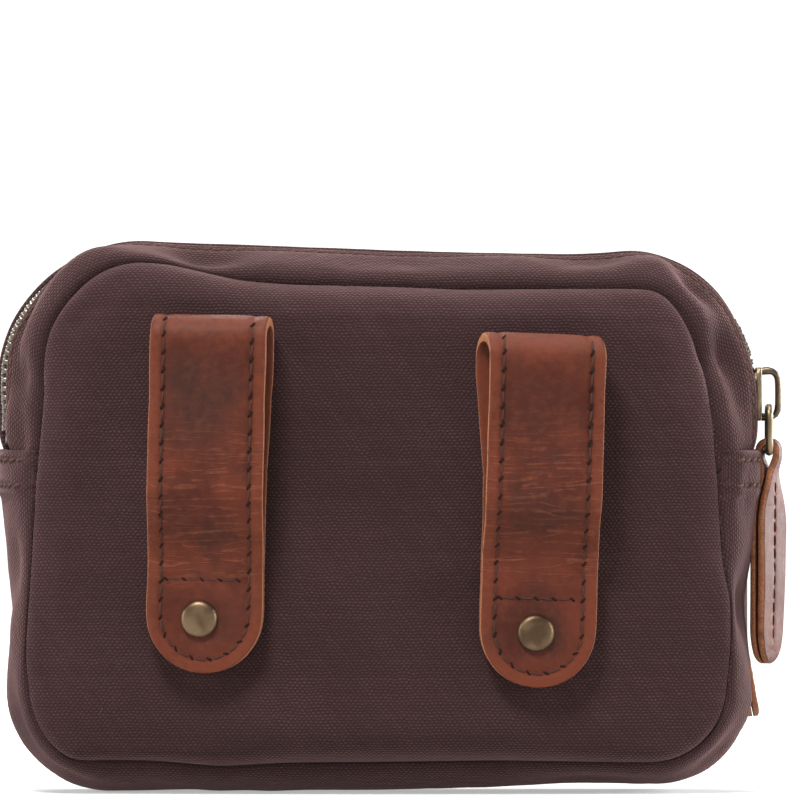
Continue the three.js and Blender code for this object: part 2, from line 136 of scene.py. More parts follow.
def make_mesh(name, points, faces, materials, face_slots=None, uvs=None):
    """A smooth mesh object from millimetre points, its faces turned outwards. uvs is one (u, v) in
    millimetres for each point."""
    mesh = bpy.data.meshes.new(name)
    mesh.from_pydata((np.asarray(points, float) * MM).tolist(), [], [list(map(int, f)) for f in faces])
    for material in materials:
        mesh.materials.append(material)
    if face_slots is not None:
        mesh.polygons.foreach_set("material_index", np.asarray(face_slots, np.int32))
    mesh.polygons.foreach_set("use_smooth", [True] * len(mesh.polygons))
    if uvs is not None:
        layer = mesh.uv_layers.new(name="thread")
        loops = np.empty(len(mesh.loops), np.int32)
        mesh.loops.foreach_get("vertex_index", loops)
        layer.data.foreach_set("uv", np.asarray(uvs, np.float32)[loops].ravel())
    mesh.validate()
    mesh.update()
    obj = bpy.data.objects.new(name, mesh)
    bpy.context.scene.collection.objects.link(obj)
    bm = bmesh.new()
    bm.from_mesh(mesh)
    bmesh.ops.recalc_face_normals(bm, faces=bm.faces)
    bm.to_mesh(mesh)
    bm.free()
    return obj


def settle(piece, body, slot, node=None):
    """Attaches a piece to the empty of the body it moves with and hides the CAD node it stands for. body is a
    body's name, or the two heights between which a front piece bends; for those the piece's place is only
    fixed, and the heights are not used. slot, its finish, is not used."""
    if isinstance(body, tuple):
        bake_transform(piece)
    else:
        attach(piece, body)
    if node:
        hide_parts(node)


def grid_faces(rows, columns, close_rows=False):
    """Quads over a grid of points stored row by row, each row a ring."""
    faces = []
    for r in range(rows if close_rows else rows - 1):
        here, below = r * columns, ((r + 1) % rows) * columns
        for c in range(columns):
            d = (c + 1) % columns
            faces.append((here + c, here + d, below + d, below + c))
    return faces


def stack_faces(rows, columns):
    """A closed stack of rings, with a face over each end."""
    last = (rows - 1) * columns
    ends = [tuple(range(columns)), tuple(range(last, last + columns))]
    return grid_faces(rows, columns) + ends


def slab(name, front, back, materials, uvs=None):
    """A closed sheet from two matching grids of points, shaped (rows, columns, 3). A second material goes
    on its cut edges, and on the outermost column of the front at each side."""
    front, back = np.asarray(front, float), np.asarray(back, float)
    rows, count = front.shape[:2]
    width = 2 * count
    faces = grid_faces(rows, width)
    edge_slot = len(materials) - 1
    slots = [edge_slot if i % width in (0, count - 2, count - 1, width - 1) else 0 for i in range(len(faces))]
    for base in (0, (rows - 1) * width):
        end = base + width - 1
        faces += [(base + c, base + c + 1, end - c - 1, end - c) for c in range(count - 1)]
        slots += [edge_slot] * (count - 1)
    points = both_sides(front, back).reshape(-1, 3)
    if uvs is not None:
        uvs = both_sides(uvs, uvs).reshape(-1, 2)
    return make_mesh(name, points, faces, materials, slots, uvs)


def both_sides(front, back):
    """Rows that run over a slab's front and return over its back."""
    return np.concatenate([np.asarray(front, float), np.asarray(back, float)[:, ::-1]], axis=1)


def disc(name, front_rings, back_rings, middle_front, middle_back, materials):
    """A closed panel from rings of points, outermost first, with one point in the middle of each face. The
    weave's place is stretched outwards where the panel turns away, so that its dots keep their size."""
    front, back = np.asarray(front_rings, float), np.asarray(back_rings, float)
    rings, count = front.shape[:2]
    total = rings * count
    points = np.concatenate([front.reshape(-1, 3), back.reshape(-1, 3), [middle_front, middle_back]])
    faces = []
    for offset, middle in ((0, 2 * total), (total, 2 * total + 1)):
        faces += [tuple(offset + i for i in quad) for quad in grid_faces(rings, count)]
        last = offset + total - count
        faces += [(last + c, last + (c + 1) % count, middle) for c in range(count)]
    faces += [(c, (c + 1) % count, total + (c + 1) % count, total + c) for c in range(count)]
    uvs = points[:, [0, 2]].copy()
    steps = np.diff(front, axis=0)
    flat = np.linalg.norm(steps[:, :, [0, 2]], axis=2)
    extra = np.cumsum((np.linalg.norm(steps, axis=2) - flat)[::-1], axis=0)[::-1]
    outward = -steps[:, :, [0, 2]] / np.maximum(flat, 1e-6)[:, :, None]
    shift = (outward * extra[:, :, None]).reshape(-1, 2)
    uvs[:len(shift)] += shift
    uvs[total:total + len(shift)] += shift
    return make_mesh(name, points, faces, materials, uvs=uvs)


# ---- parts: closed (points, faces) that are joined into pieces ----


def tangents_along(path, closed=False):
    """The unit direction of a path at each of its points."""
    path = np.asarray(path, float)
    if closed:
        tangents = np.roll(path, -1, 0) - np.roll(path, 1, 0)
    else:
        tangents = np.gradient(path, axis=0)
    return tangents / np.linalg.norm(tangents, axis=1)[:, None]


def tube_part(path, radii, up, sides=12, closed=False):
    """A tube. radii is (across up, along up) for every point of the path."""
    path = np.asarray(path, float)
    tangents = tangents_along(path, closed)
    side = np.cross(tangents, np.asarray(up, float))
    side /= np.linalg.norm(side, axis=1)[:, None]
    over = np.cross(side, tangents)
    radii = np.broadcast_to(np.asarray(radii, float), (len(path), 2))
    angles = np.arange(sides) * TAU / sides
    ring = np.cos(angles)[None, :, None] * side[:, None] * radii[:, 0, None, None]
    ring = ring + np.sin(angles)[None, :, None] * over[:, None] * radii[:, 1, None, None]
    points = (path[:, None] + ring).reshape(-1, 3)
    if closed:
        return points, grid_faces(len(path), sides, close_rows=True)
    return points, stack_faces(len(path), sides)


def plate_part(shape, low, high, bevel, rings=2):
    """A flat plate with rounded edges. shape is a list of (u, v); its faces lie at w = low and high."""
    shape = np.asarray(shape, float)
    centre = shape.mean(0)
    reach = np.linalg.norm(shape - centre, axis=1).mean()
    levels = []
    for i in range(rings + 1):
        angle = i / rings * math.pi / 2
        levels.append((low + bevel * (1 - math.sin(angle)), bevel * (1 - math.cos(angle))))
    levels = levels[::-1] + [(low + high - w, inset) for w, inset in levels]
    points = []
    for w, inset in sorted(levels):
        flat = centre + (shape - centre) * (1 - inset / reach)
        points += [(u, v, w) for u, v in flat]
    return np.asarray(points), stack_faces(len(levels), len(shape))


def lathe_part(profile, sides):
    """Turned about the third axis. profile is (radius, height) from one end to the other."""
    angles = np.arange(sides) * TAU / sides
    points = [(r * math.cos(a), r * math.sin(a), height) for r, height in profile for a in angles]
    return np.asarray(points), stack_faces(len(profile), sides)


def place_part(part, matrix):
    """Moves one part by a 4 x 4 matrix in millimetres."""
    points = np.asarray(part[0], float)
    return points @ np.array(matrix.to_3x3()).T + np.array(matrix.translation), part[1]


def join_parts(name, parts, materials, part_slots=None):
    """One mesh object from several parts."""
    points, faces, slots, total = [], [], [], 0
    for index, (part_points, part_faces) in enumerate(parts):
        points.append(np.asarray(part_points, float))
        faces += [tuple(total + i for i in face) for face in part_faces]
        slots += [part_slots[index] if part_slots else 0] * len(part_faces)
        total += len(part_points)
    return make_mesh(name, np.concatenate(points), faces, materials, slots)


# One stitch from end to end: how far along it, how deep it has dived, and its share of the full thickness.
STITCH_SHAPE = [(-0.5, 1.15, 0.55), (-0.36, 0.3, 0.9), (0, 0, 1.0), (0.36, 0.3, 0.9), (0.5, 1.15, 0.55)]


def stitch_parts(path, normals, pitch, length, radius, slant=0.0, start=0.5, lift=0.65):
    """Short raised threads along a path on a surface, one every pitch, with their ends pulled in."""
    path, normals = np.asarray(path, float), np.asarray(normals, float)
    run = np.concatenate([[0], np.cumsum(np.linalg.norm(np.diff(path, axis=0), axis=1))])

    def between(rows, place):
        return np.array([np.interp(place, run, rows[:, k]) for k in range(3)])

    parts = []
    for index, middle in enumerate(np.arange(pitch * start + 0.05, run[-1] - pitch / 3, pitch)):
        at, normal = between(path, middle), between(normals, middle)
        step = between(path, middle + 0.5) - between(path, middle - 0.5)
        normal /= np.linalg.norm(normal)
        along = step / max(np.linalg.norm(step), 1e-6)
        turn = slant + 0.08 * math.sin(index * 2.4)
        heading = along * math.cos(turn) + np.cross(normal, along) * math.sin(turn)
        spine = [at + heading * t * length + normal * (lift - drop) * radius for t, drop, _ in STITCH_SHAPE]
        widths = [(radius * size, radius * size) for _, _, size in STITCH_SHAPE]
        parts.append(tube_part(spine, widths, normal, 6))
    return parts


# ---- the pouch's outline ----
# Places on it are given by the distance s along it: from the middle of the base to the right, up the right
# side, over the top, down the left side and back.

BASE_RUN = HALF - BOTTOM_RADIUS
SIDE_RUN = SHOULDER_Z - BOTTOM_RADIUS
LOW_ARC = BOTTOM_RADIUS * math.pi / 2
HIGH_ARC = TOP_RADIUS * math.pi / 2
TOP_END = HALF - TOP_RADIUS

# Each run's length and where it starts, then a straight one's heading, or an arc's centre, radius and angle.
RUNS = [
    (BASE_RUN, (0, 0), (1, 0)),
    (LOW_ARC, (BASE_RUN, BOTTOM_RADIUS), BOTTOM_RADIUS, -math.pi / 2),
    (SIDE_RUN, (HALF, BOTTOM_RADIUS), (0, 1)),
    (HIGH_ARC, (TOP_END, SHOULDER_Z), TOP_RADIUS, 0.0),
    (2 * TOP_END, (TOP_END, HEIGHT), (-1, 0)),
    (HIGH_ARC, (-TOP_END, SHOULDER_Z), TOP_RADIUS, math.pi / 2),
    (SIDE_RUN, (-HALF, SHOULDER_Z), (0, -1)),
    (LOW_ARC, (-BASE_RUN, BOTTOM_RADIUS), BOTTOM_RADIUS, math.pi),
    (BASE_RUN, (-BASE_RUN, 0), (1, 0)),
]
PERIMETER = sum(run[0] for run in RUNS)


def outline(s):
    """(x, z, inward x, inward z) at a distance along the outline."""
    s = s % PERIMETER
    for run in RUNS:
        if s <= run[0] or run is RUNS[-1]:
            break
        s -= run[0]
    x, z = run[1]
    if len(run) == 3:
        ahead_x, ahead_z = run[2]
        return x + ahead_x * s, z + ahead_z * s, float(-ahead_z), float(ahead_x)
    _, _, radius, start = run
    c, n = math.cos(start + s / radius), math.sin(start + s / radius)
    return x + radius * c, z + radius * n, -c, -n


def s_right(z):
    """The distance along the outline of a height on the right side."""
    return BASE_RUN + LOW_ARC + z - BOTTOM_RADIUS


def s_left(z):
    return PERIMETER - s_right(z)


def smooth_keys(sigma, keys):
    """A closed smooth curve through given (s, value) keys, as samples about one millimetre apart."""
    count = int(round(PERIMETER))
    at, value = zip(*keys)
    samples = np.interp(np.arange(count) * PERIMETER / count, at, value, period=PERIMETER)
    offsets = np.arange(-4 * sigma, 4 * sigma + 1)
    weights = np.exp(-0.5 * (offsets / sigma) ** 2)
    weights /= weights.sum()
    return sum(w * np.roll(samples, int(o)) for w, o in zip(weights, offsets))


def sample(curve, s):
    place = (s % PERIMETER) / PERIMETER * len(curve)
    low = int(place) % len(curve)
    part = place - int(place)
    return curve[low] * (1 - part) + curve[(low + 1) % len(curve)] * part


# How far the filled cloth stands out of the plain outline.
BULGE = smooth_keys(3, [
    (0, -0.4), (40, -1.4), (62, -1.5), (74, -1.1), (84, -1.4), (94, -1.2), (104, -1.6), (113, -2.8),
    (124, -0.8), (134, 0.2), (158, 0.3), (170, 0.2), (185, 0.7), (200, 0.6), (207, -0.6), (216, -0.9),
    (257, 0), (280, 0.9), (300, 1.6), (313, 2.3), (335, 2.0), (350, 1.6), (357, 0.9), (380, 0.7),
    (398, -0.8), (403, -1.9), (412, -0.6), (420, 0), (438, -0.3), (455, 0), (490, 0),
])
# How far in the seam of the belt-side panel lies.
SEAM = smooth_keys(2, [
    (0, 6.7), (26, 7), (57, 6.5), (68, 7.1), (80, 7.3), (94, 6.8), (102, 5.8), (114, 5.8), (121, 7.6),
    (141, 8.9), (152, 9.8), (160, 11.2), (172, 11.6), (182, 9.5), (190, 7.6), (195, 6.8), (203, 8),
    (220, 8.1), (240, 8.3), (254, 7.7), (277, 7.2), (287, 6.4), (293, 5.2), (304, 2.6), (311, 2.2),
    (319, 2.7), (327, 4.2), (337, 5.6), (354, 8.9), (376, 6.9), (394, 5.8), (405, 5), (413, 4.5),
    (424, 5.6), (444, 5.4), (453, 7.1), (465, 7), (480, 5.7), (493, 6.5),
])
# How much further out the front edge of the wall stands than its back edge.
TILT = smooth_keys(4, [
    (0, 0.2), (120, 0.3), (150, 0.2), (176, 0.2), (215, 0.4), (300, 0.4), (326, 0.7), (336, 1.2),
    (366, 1.3), (378, 0.8), (400, 0.4), (514, 0.2),
])
TILT_REACH = 11.2
# Where the cloth beside the main zip sinks, from 0 to 1, so that its teeth show from the belt side.
CHAIN_SHOW = smooth_keys(2, [
    (0, 0), (158, 0), (163, 1), (172, 1), (180, 0.15), (210, 0), (322, 0), (334, 0.5), (340, 1), (372, 1),
    (380, 0.6), (390, 0), (514, 0),
])
# Hollows pushed into the wall, and rolls where the depth is below 0: (s, y, reach along, reach across,
# depth).
HOLLOWS = [
    (168, -14, 9, 4.6, 5.0), (187, -11.5, 7, 3.2, 2.6), (156, -13, 7, 4.5, 1.8), (197, -12, 7, 4, -1.3),
    (210, -11, 10, 3, 1.0), (296, -13.5, 8, 4.2, 3.0), (311, -13, 5, 3.5, 0.9), (322, -13, 13, 4.4, -2.4),
    (335, -9.8, 13, 1.5, 3.0), (352, -13, 6, 4.5, 2.8), (344, -8.5, 5, 3, -0.9), (362, -10, 9, 3, -1.0),
    (366, -15, 6, 3, 1.4), (394, -12, 8, 4, 1.8), (404, -12, 8, 4, -1.0), (428, -12, 9, 4, 1.6),
    (446, -12, 7, 3, 1.4), (76, -12, 10, 4, 1.6), (90, -9, 7, 3, -0.8), (113, -11, 7, 5, 2.2),
    (138, -13, 7, 3, 1.4), (255, -13, 16, 3.5, 1.0), (230, -9, 10, 3, -0.5), (12, -10, 22, 4, -0.8),
    (45, -12, 12, 3, 0.9), (175, 12, 10, 4, 1.4), (320, 12, 10, 4, 1.2), (250, 12, 16, 4, 1.0),
    (400, 12, 10, 4, 1.4), (115, 12, 9, 4, 1.4), (350, 13, 7, 4, 1.4), (40, 12, 14, 4, 0.8),
    (480, 12, 14, 4, 0.8),
]
WALL_FLAT = 4.0  # half the width of the wall's flat middle


def hollow(s, y):
    total = 0.0
    for at, across_at, long, wide, depth in HOLLOWS:
        away = (s - at + PERIMETER / 2) % PERIMETER - PERIMETER / 2
        if abs(away) < 3 * long:
            total += depth * math.exp(-((away / long) ** 2) - ((y - across_at) / wide) ** 2)
    return total


def wall_point(s, y, depth):
    """A point on the curved wall between the seams, depth millimetres inside its face."""
    x, z, nx, nz = outline(s)
    seam_y, seam = (SEAM_BACK, sample(SEAM, s)) if y < 0 else (SEAM_FRONT, FRONT_SEAM)
    reach = abs(seam_y) - WALL_FLAT
    sine = clamp((abs(y) - WALL_FLAT) / reach)
    cosine = math.sqrt(1 - sine * sine)
    inset = seam * (1 - cosine) - sample(BULGE, s) * cosine - sample(TILT, s) * y / TILT_REACH * cosine
    if y > 2:
        # Towards the front seam the wall may not sink inside the front panels' edge.
        inset = min(inset, FRONT_SEAM - 0.25 * cosine + 4 * (1 - smooth((y - 2) / 10)))
    slope_in = seam * sine / reach
    size = math.hypot(slope_in, cosine) or 1.0
    inset += depth * cosine / size
    y -= math.copysign(depth * slope_in / size, y)
    return x + nx * inset, y, z + nz * inset


def chain_point(s, y, depth):
    """A point of the zip, which follows the bulge of the cloth but stays flat across."""
    x, z, nx, nz = outline(s)
    inset = depth - sample(BULGE, s) - sample(TILT, s) * y / TILT_REACH
    return x + nx * inset, y, z + nz * inset


def band(name, s_values, columns, thickness, material, sink, place=wall_point):
    """A closed strip of cloth round the pouch. columns are its y values; sink(s, y) is its face's depth."""
    front, back, uvs = [], [], []
    middle = int(np.argmin(np.abs(columns)))
    for s in s_values:
        sunk = [sink(s, y) for y in columns]
        front.append([place(s, y, d) for y, d in zip(columns, sunk)])
        back.append([place(s, y, d + thickness) for y, d in zip(columns, sunk)])
        steps = np.linalg.norm(np.diff(np.asarray(front[-1]), axis=0), axis=1)
        run = np.concatenate([[0], np.cumsum(steps)])
        uvs.append([(s, d) for d in run - run[middle] + columns[middle]])
    return slab(name, front, back, [material], uvs)


# ---- materials ----


class Value:
    """A shader node's output that can be added, subtracted and multiplied."""

    def __init__(self, nodes, socket):
        self.nodes, self.socket = nodes, socket

    def __add__(self, other):
        return self.nodes.math("ADD", self, other)

    def __sub__(self, other):
        return self.nodes.math("SUBTRACT", self, other)

    def __mul__(self, other):
        return self.nodes.math("MULTIPLY", self, other)

    __radd__, __rmul__ = __add__, __mul__


class Nodes:
    """Short ways to add shader nodes to one new material."""

    def __init__(self, name):
        self.material = bpy.data.materials.new(name)
        self.material.use_nodes = True
        self.tree = self.material.node_tree
        self.inputs = self.tree.nodes["Principled BSDF"].inputs
        coordinates = self.add("ShaderNodeTexCoord").outputs["Object"]
        self.place = self.vector("MULTIPLY", Value(self, coordinates), (1 / MM, 1 / MM, 1 / MM))

    def set(self, socket, value):
        if isinstance(value, Value):
            self.tree.links.new(value.socket, socket)
        else:
            socket.default_value = value

    def add(self, kind, inputs=None, **settings):
        node = self.tree.nodes.new(kind)
        for key, value in settings.items():
            setattr(node, key, value)
        for key, value in (inputs or {}).items():
            self.set(node.inputs[key], value)
        return node

    def take(self, output, kind, inputs=None, **settings):
        return Value(self, self.add(kind, inputs, **settings).outputs[output])

    def math(self, operation, a, b=0.0, clamp=False):
        return self.take(0, "ShaderNodeMath", {0: a, 1: b}, operation=operation, use_clamp=clamp)

    def vector(self, operation, a, b):
        return self.take(0, "ShaderNodeVectorMath", {0: a, 1: b}, operation=operation)

    def split(self, vector):
        return [Value(self, socket) for socket in self.add("ShaderNodeSeparateXYZ", {0: vector}).outputs]

    def ramp(self, value, low, high, out_low=0.0, out_high=1.0):
        inputs = {0: value, 1: low, 2: high, 3: out_low, 4: out_high}
        return self.take(0, "ShaderNodeMapRange", inputs, interpolation_type="SMOOTHSTEP")

    def mix(self, factor, a, b):
        return self.take(2, "ShaderNodeMix", {0: factor, 6: a, 7: b}, data_type="RGBA")

    def noise(self, vector, scale, detail=3.0, roughness=0.5):
        inputs = {"Vector": vector, "Scale": scale, "Detail": detail, "Roughness": roughness}
        return self.take(0, "ShaderNodeTexNoise", inputs)

    def bump(self, height, depth, strength, under=None):
        """Relief of a depth in millimetres, laid over the relief under it."""
        inputs = {"Height": height, "Distance": depth * MM, "Strength": strength}
        if under is not None:
            inputs["Normal"] = under
        return self.take(0, "ShaderNodeBump", inputs)

    def finish(self, color, roughness, normal=None, **fixed):
        self.set(self.inputs["Base Color"], color)
        self.set(self.inputs["Roughness"], roughness)
        if normal is not None:
            self.set(self.inputs["Normal"], normal)
        for key, value in fixed.items():
            self.inputs[key.replace("_", " ").title().replace("Ior", "IOR")].default_value = value
        return self.material


def rgb(r, g, b):
    return (r, g, b, 1.0)


def weave_material(name, gap_shade, dark, light, cell, relief, sheen):
    """Plain-weave cloth: threads that come over the top make staggered raised dots with dark gaps between.
    The dots' light colour is the yarn with a painted highlight on each raised thread, and the gaps' colour is
    painted shade between the threads. cell is the width and height that one dot takes, in millimetres."""
    n = Nodes(name)
    uv = n.take(0, "ShaderNodeUVMap", uv_map="thread")
    wobble = n.take("Color", "ShaderNodeTexNoise", {"Vector": n.place, "Scale": 0.3, "Detail": 3.0})
    drift = n.vector("MULTIPLY", n.vector("SUBTRACT", wobble, (0.5, 0.5, 0.5)), (1.0, 1.0, 0))
    moved = n.vector("ADD", uv, drift)
    u, v, _ = n.split(n.vector("MULTIPLY", moved, (1 / cell[0], 1 / cell[1], 0)))
    row = n.math("FLOOR", v)
    shifted = u + row * 0.5
    column = n.math("FLOOR", shifted)
    square_u = n.math("POWER", n.math("ABSOLUTE", n.math("FRACT", shifted) - 0.5), 2.0)
    square_v = n.math("POWER", n.math("ABSOLUTE", n.math("FRACT", v) - 0.5), 2.0)
    dot = n.ramp(n.math("SQRT", square_u * 3.4 + square_v * 3.9), 0.98, 0.12)
    thread_v = n.take(0, "ShaderNodeTexWhiteNoise", {"W": row}, noise_dimensions="1D")
    thread_u = n.take(0, "ShaderNodeTexWhiteNoise", {"W": column + 0.37}, noise_dimensions="1D")
    fuzz = n.noise(n.place, 2.6, 3.0, 0.7)
    cloud = n.noise(n.place, 0.04, 3.0, 0.55)
    shade = dot * (0.5 + thread_u * 0.22) + thread_v * 0.1 + (fuzz - 0.5) * 0.6 + (cloud - 0.5) * 0.45
    # Painted shade in the gaps between the threads, and a painted highlight mixed into the raised dots over
    # the yarn's own colour.
    color = n.mix(n.ramp(shade, -0.05, 0.4), rgb(*gap_shade), rgb(*dark))
    color = n.mix(n.ramp(shade, 0.35, 0.95), color, rgb(*light))
    slub = n.noise(n.place, 0.35, 2.0, 0.5)
    normal = n.bump(slub, 0.5, 0.4, n.bump(dot + fuzz * 0.45, relief, 0.8))
    return n.finish(color, n.ramp(shade, 0.0, 1.0, 0.98, 0.86), normal, sheen_tint=rgb(1.0, 0.6, 0.58),
                    sheen_weight=sheen, sheen_roughness=0.5, specular_ior_level=0.06)


def leather_material():
    """Oiled pull-up leather: red-brown with darker clouds, fine grain, pale creases and a low waxy sheen. The
    mark attribute read here is above 0 where the leather is lighter, rubbed at its edges and with a painted
    highlight over a strap's fold, and below 0 where it is smoky."""
    n = Nodes("pull_up_leather")
    place = n.place
    cloud = n.noise(place, 0.045, 4.0, 0.6)
    patch = n.noise(n.vector("MULTIPLY", place, (1, 1, 0.7)), 0.1, 3.0, 0.55)
    mottle = n.noise(place, 0.6, 4.0, 0.65)
    color = n.mix(n.ramp(cloud, 0.38, 0.62), rgb(0.044, 0.0092, 0.0046), rgb(0.082, 0.017, 0.0076))
    marked = n.take("Fac", "ShaderNodeAttribute", attribute_name="wear_and_highlight")
    wear_and_highlight, smoky = n.math("MAXIMUM", marked, 0.0), n.math("MAXIMUM", marked * -1.0, 0.0)
    darker = n.math("ADD", n.ramp(patch, 0.5, 0.7) * 0.6, smoky, clamp=True)
    color = n.mix(darker, color, rgb(0.03, 0.01, 0.0066))
    color = n.mix(n.ramp(mottle, 0.4, 0.75) * 0.3, color, rgb(0.105, 0.028, 0.0135))
    # Lighter where the mark is above 0: the rubbed edges, and the painted highlight over the straps' folds.
    color = n.mix(wear_and_highlight * n.ramp(mottle, 0.2, 0.6, 0.22, 0.62), color, rgb(0.108, 0.0262, 0.0118))

    cells = n.take(0, "ShaderNodeTexVoronoi", {"Vector": place, "Scale": 2.6}, feature="DISTANCE_TO_EDGE")
    grain = n.ramp(cells, 0.0, 0.16)
    pore = n.noise(place, 5.0, 2.0, 0.5)

    # Creases run across the belt loops, where the strap bends in towards its rivet.
    _, y, z = n.split(place)
    bent = n.ramp(z, 43.0, 50.0) * n.ramp(z, 86.0, 66.0) * n.ramp(y, -22.0, -26.0)
    creased = 0.0
    for spread, scale, wander in ((0.12, 0.13, 9.0), (0.2, 0.2, 12.0)):
        inputs = {"Vector": n.vector("MULTIPLY", place, (spread, spread, 1.0)), "Scale": scale,
                  "Distortion": wander, "Detail": 2.0, "Detail Scale": 1.6}
        lines = n.take("Fac", "ShaderNodeTexWave", inputs, bands_direction="Z")
        broken = n.ramp(n.noise(place, 0.16 + scale, 2.0, 0.5), 0.4, 0.6)
        creased = n.math("MAXIMUM", n.ramp(lines, 0.84, 1.0) * broken, creased)
    creased = creased * (bent * 0.92 + 0.05)
    color = n.mix(creased * n.ramp(mottle, 0.3, 0.7, 0.12, 0.42), color, rgb(0.165, 0.052, 0.026))
    normal = n.bump(creased, 0.22, 0.5, n.bump(grain * 0.25 + pore * 0.3, 0.14, 0.6))
    rough = n.ramp(mottle + cloud * 0.5, 0.4, 1.1, 0.4, 0.6)
    return n.finish(color, rough, normal, specular_ior_level=0.1)


def raw_edge_material():
    """The cut edge of the leather: tan fibre, darker where it has been handled."""
    n = Nodes("leather_raw_edge")
    fibre = n.noise(n.place, 2.2, 5.0, 0.7)
    smudge = n.noise(n.place, 0.25, 2.0, 0.5)
    color = n.mix(n.ramp(fibre, 0.3, 0.7), rgb(0.14, 0.048, 0.02), rgb(0.31, 0.125, 0.056))
    color = n.mix(n.ramp(smudge, 0.55, 0.8), color, rgb(0.09, 0.03, 0.015))
    return n.finish(color, 0.82, n.bump(fibre, 0.2, 0.7), specular_ior_level=0.3)


def thread_material(name, dark, light):
    """Twisted sewing thread."""
    n = Nodes(name)
    inputs = {"Vector": n.place, "Scale": 1.6, "Distortion": 1.5}
    twist = n.take("Fac", "ShaderNodeTexWave", inputs, bands_direction="DIAGONAL")
    fibre = n.noise(n.place, 6.0, 2.0, 0.6)
    color = n.mix((twist + fibre) * 0.5, rgb(*dark), rgb(*light))
    return n.finish(color, 0.85, n.bump(twist, 0.08, 0.6), specular_ior_level=0.15)


def metal_material(name, dark, mid, bright, roughness):
    """Antique plating: smooth, darker where it has not been rubbed, with a fine brushed grain."""
    n = Nodes(name)
    tarnish = n.noise(n.place, 0.16, 2.0, 0.5)
    speck = n.noise(n.place, 2.2, 3.0, 0.6)
    color = n.mix(n.ramp(tarnish, 0.35, 0.65), rgb(*dark), rgb(*mid))
    color = n.mix(n.ramp(speck, 0.55, 0.8) * 0.2, color, rgb(*bright))
    rough = n.ramp(speck, 0.3, 0.8, roughness + 0.06, roughness - 0.04)
    scratch = n.noise(n.vector("MULTIPLY", n.place, (0.4, 3.0, 3.0)), 2.0, 3.0, 0.6)
    return n.finish(color, rough, n.bump(scratch, 0.015, 0.3), metallic=1.0)


# Each cloth's colours: the gaps', painted shade between the threads; the yarn's; and the dots', the yarn with
# a painted highlight.
CANVAS = weave_material("canvas_duck", (0.0182, 0.0087, 0.0089), (0.0285, 0.0142, 0.0142),
                        (0.0515, 0.028, 0.0272), (1.0, 0.66), 0.15, 0.16)
LINING = weave_material("lining_poplin", (0.012, 0.008, 0.009), (0.022, 0.015, 0.017),
                        (0.05, 0.036, 0.04), (0.5, 0.4), 0.06, 0.03)
TAPE = weave_material("zip_tape_cloth", (0.003, 0.002, 0.002), (0.008, 0.0055, 0.006),
                      (0.028, 0.018, 0.018), (0.55, 0.45), 0.1, 0.05)
LEATHER = leather_material()
RAW_EDGE = raw_edge_material()
BROWN_THREAD = thread_material("brown_thread", (0.026, 0.0098, 0.0068), (0.066, 0.027, 0.019))
# Near-black: painted shade of the needle holes in the leather.
HOLE_SHADE = thread_material("needle_hole_shade", (0.004, 0.0015, 0.001), (0.012, 0.005, 0.003))
PLUM_THREAD = thread_material("plum_thread", (0.022, 0.0115, 0.0095), (0.095, 0.048, 0.037))
BRASS = metal_material("antique_brass", (0.13, 0.092, 0.056), (0.2, 0.148, 0.095), (0.36, 0.28, 0.19), 0.4)
RIVET_BRASS = metal_material("rivet_brass", (0.07, 0.042, 0.024), (0.15, 0.1, 0.06), (0.28, 0.2, 0.13), 0.44)
NICKEL = metal_material("dull_nickel", (0.14, 0.13, 0.115), (0.26, 0.245, 0.22), (0.42, 0.4, 0.37), 0.36)
CHAIN = metal_material("antique_chain", (0.075, 0.066, 0.052), (0.165, 0.148, 0.122), (0.38, 0.35, 0.3), 0.32)
DARK_BRASS = metal_material("bronzed_bar", (0.05, 0.034, 0.024), (0.11, 0.08, 0.056), (0.3, 0.24, 0.17), 0.34)


# ---- canvas: belt-side panel and gusset ----

# Folds pressed into the belt-side panel: (x, z) of each end, width and depth in millimetres.
FOLDS = [
    (-72, 98, -55, 111, 3.2, 0.9), (-70, 86, -64, 104, 3.6, 0.6), (63, 106, 68, 88, 3.4, 0.8),
    (50, 107, 66, 100, 3.0, 0.5), (-74, 46, -70, 18, 3.6, 0.8), (-66, 12, -20, 9, 3.4, 0.8),
    (70, 46, 73, 22, 3.2, 0.7), (20, 10.5, 62, 11, 3.2, 0.6), (-20, 88, 14, 93, 9, 0.3),
    (-64, 60, -58, 84, 6, 0.3), (56, 40, 60, 74, 7, 0.35), (-14, 24, 12, 19, 8, 0.35),
]
ROLL = 7.5  # how far in from its seam the panel rises
EDGE_STEPS = [0, 0.35, 0.8, 1.4, 2.1, 3.0, 4.0, 5.2, 6.5, 8.0, 9.8, 12.0]
RINGS = [(step, 1.0) for step in EDGE_STEPS] + [(EDGE_STEPS[-1], 1 - k / 26) for k in range(1, 26)]
CENTRE_X, CENTRE_Z = 1.0, 58.0
PANEL_S = np.arange(0, PERIMETER, PERIMETER / 300)
CALM_Z = 86  # where the slider rests


def fold_depth(x, z):
    total = 0.0
    for x0, z0, x1, z1, width, depth in FOLDS:
        run = math.hypot(x1 - x0, z1 - z0)
        t = ((x - x0) * (x1 - x0) + (z - z0) * (z1 - z0)) / run ** 2
        if -0.25 < t < 1.25:
            away = ((x - x0) * (z1 - z0) - (z - z0) * (x1 - x0)) / run
            total += depth * math.sin(math.pi * (t + 0.25) / 1.5) * bell(away, width)
    return total


def crowned(x):
    """The belt-side panel's face, bowed outwards."""
    return PANEL_FRONT + CROWN_RADIUS - math.sqrt(CROWN_RADIUS ** 2 - x * x)


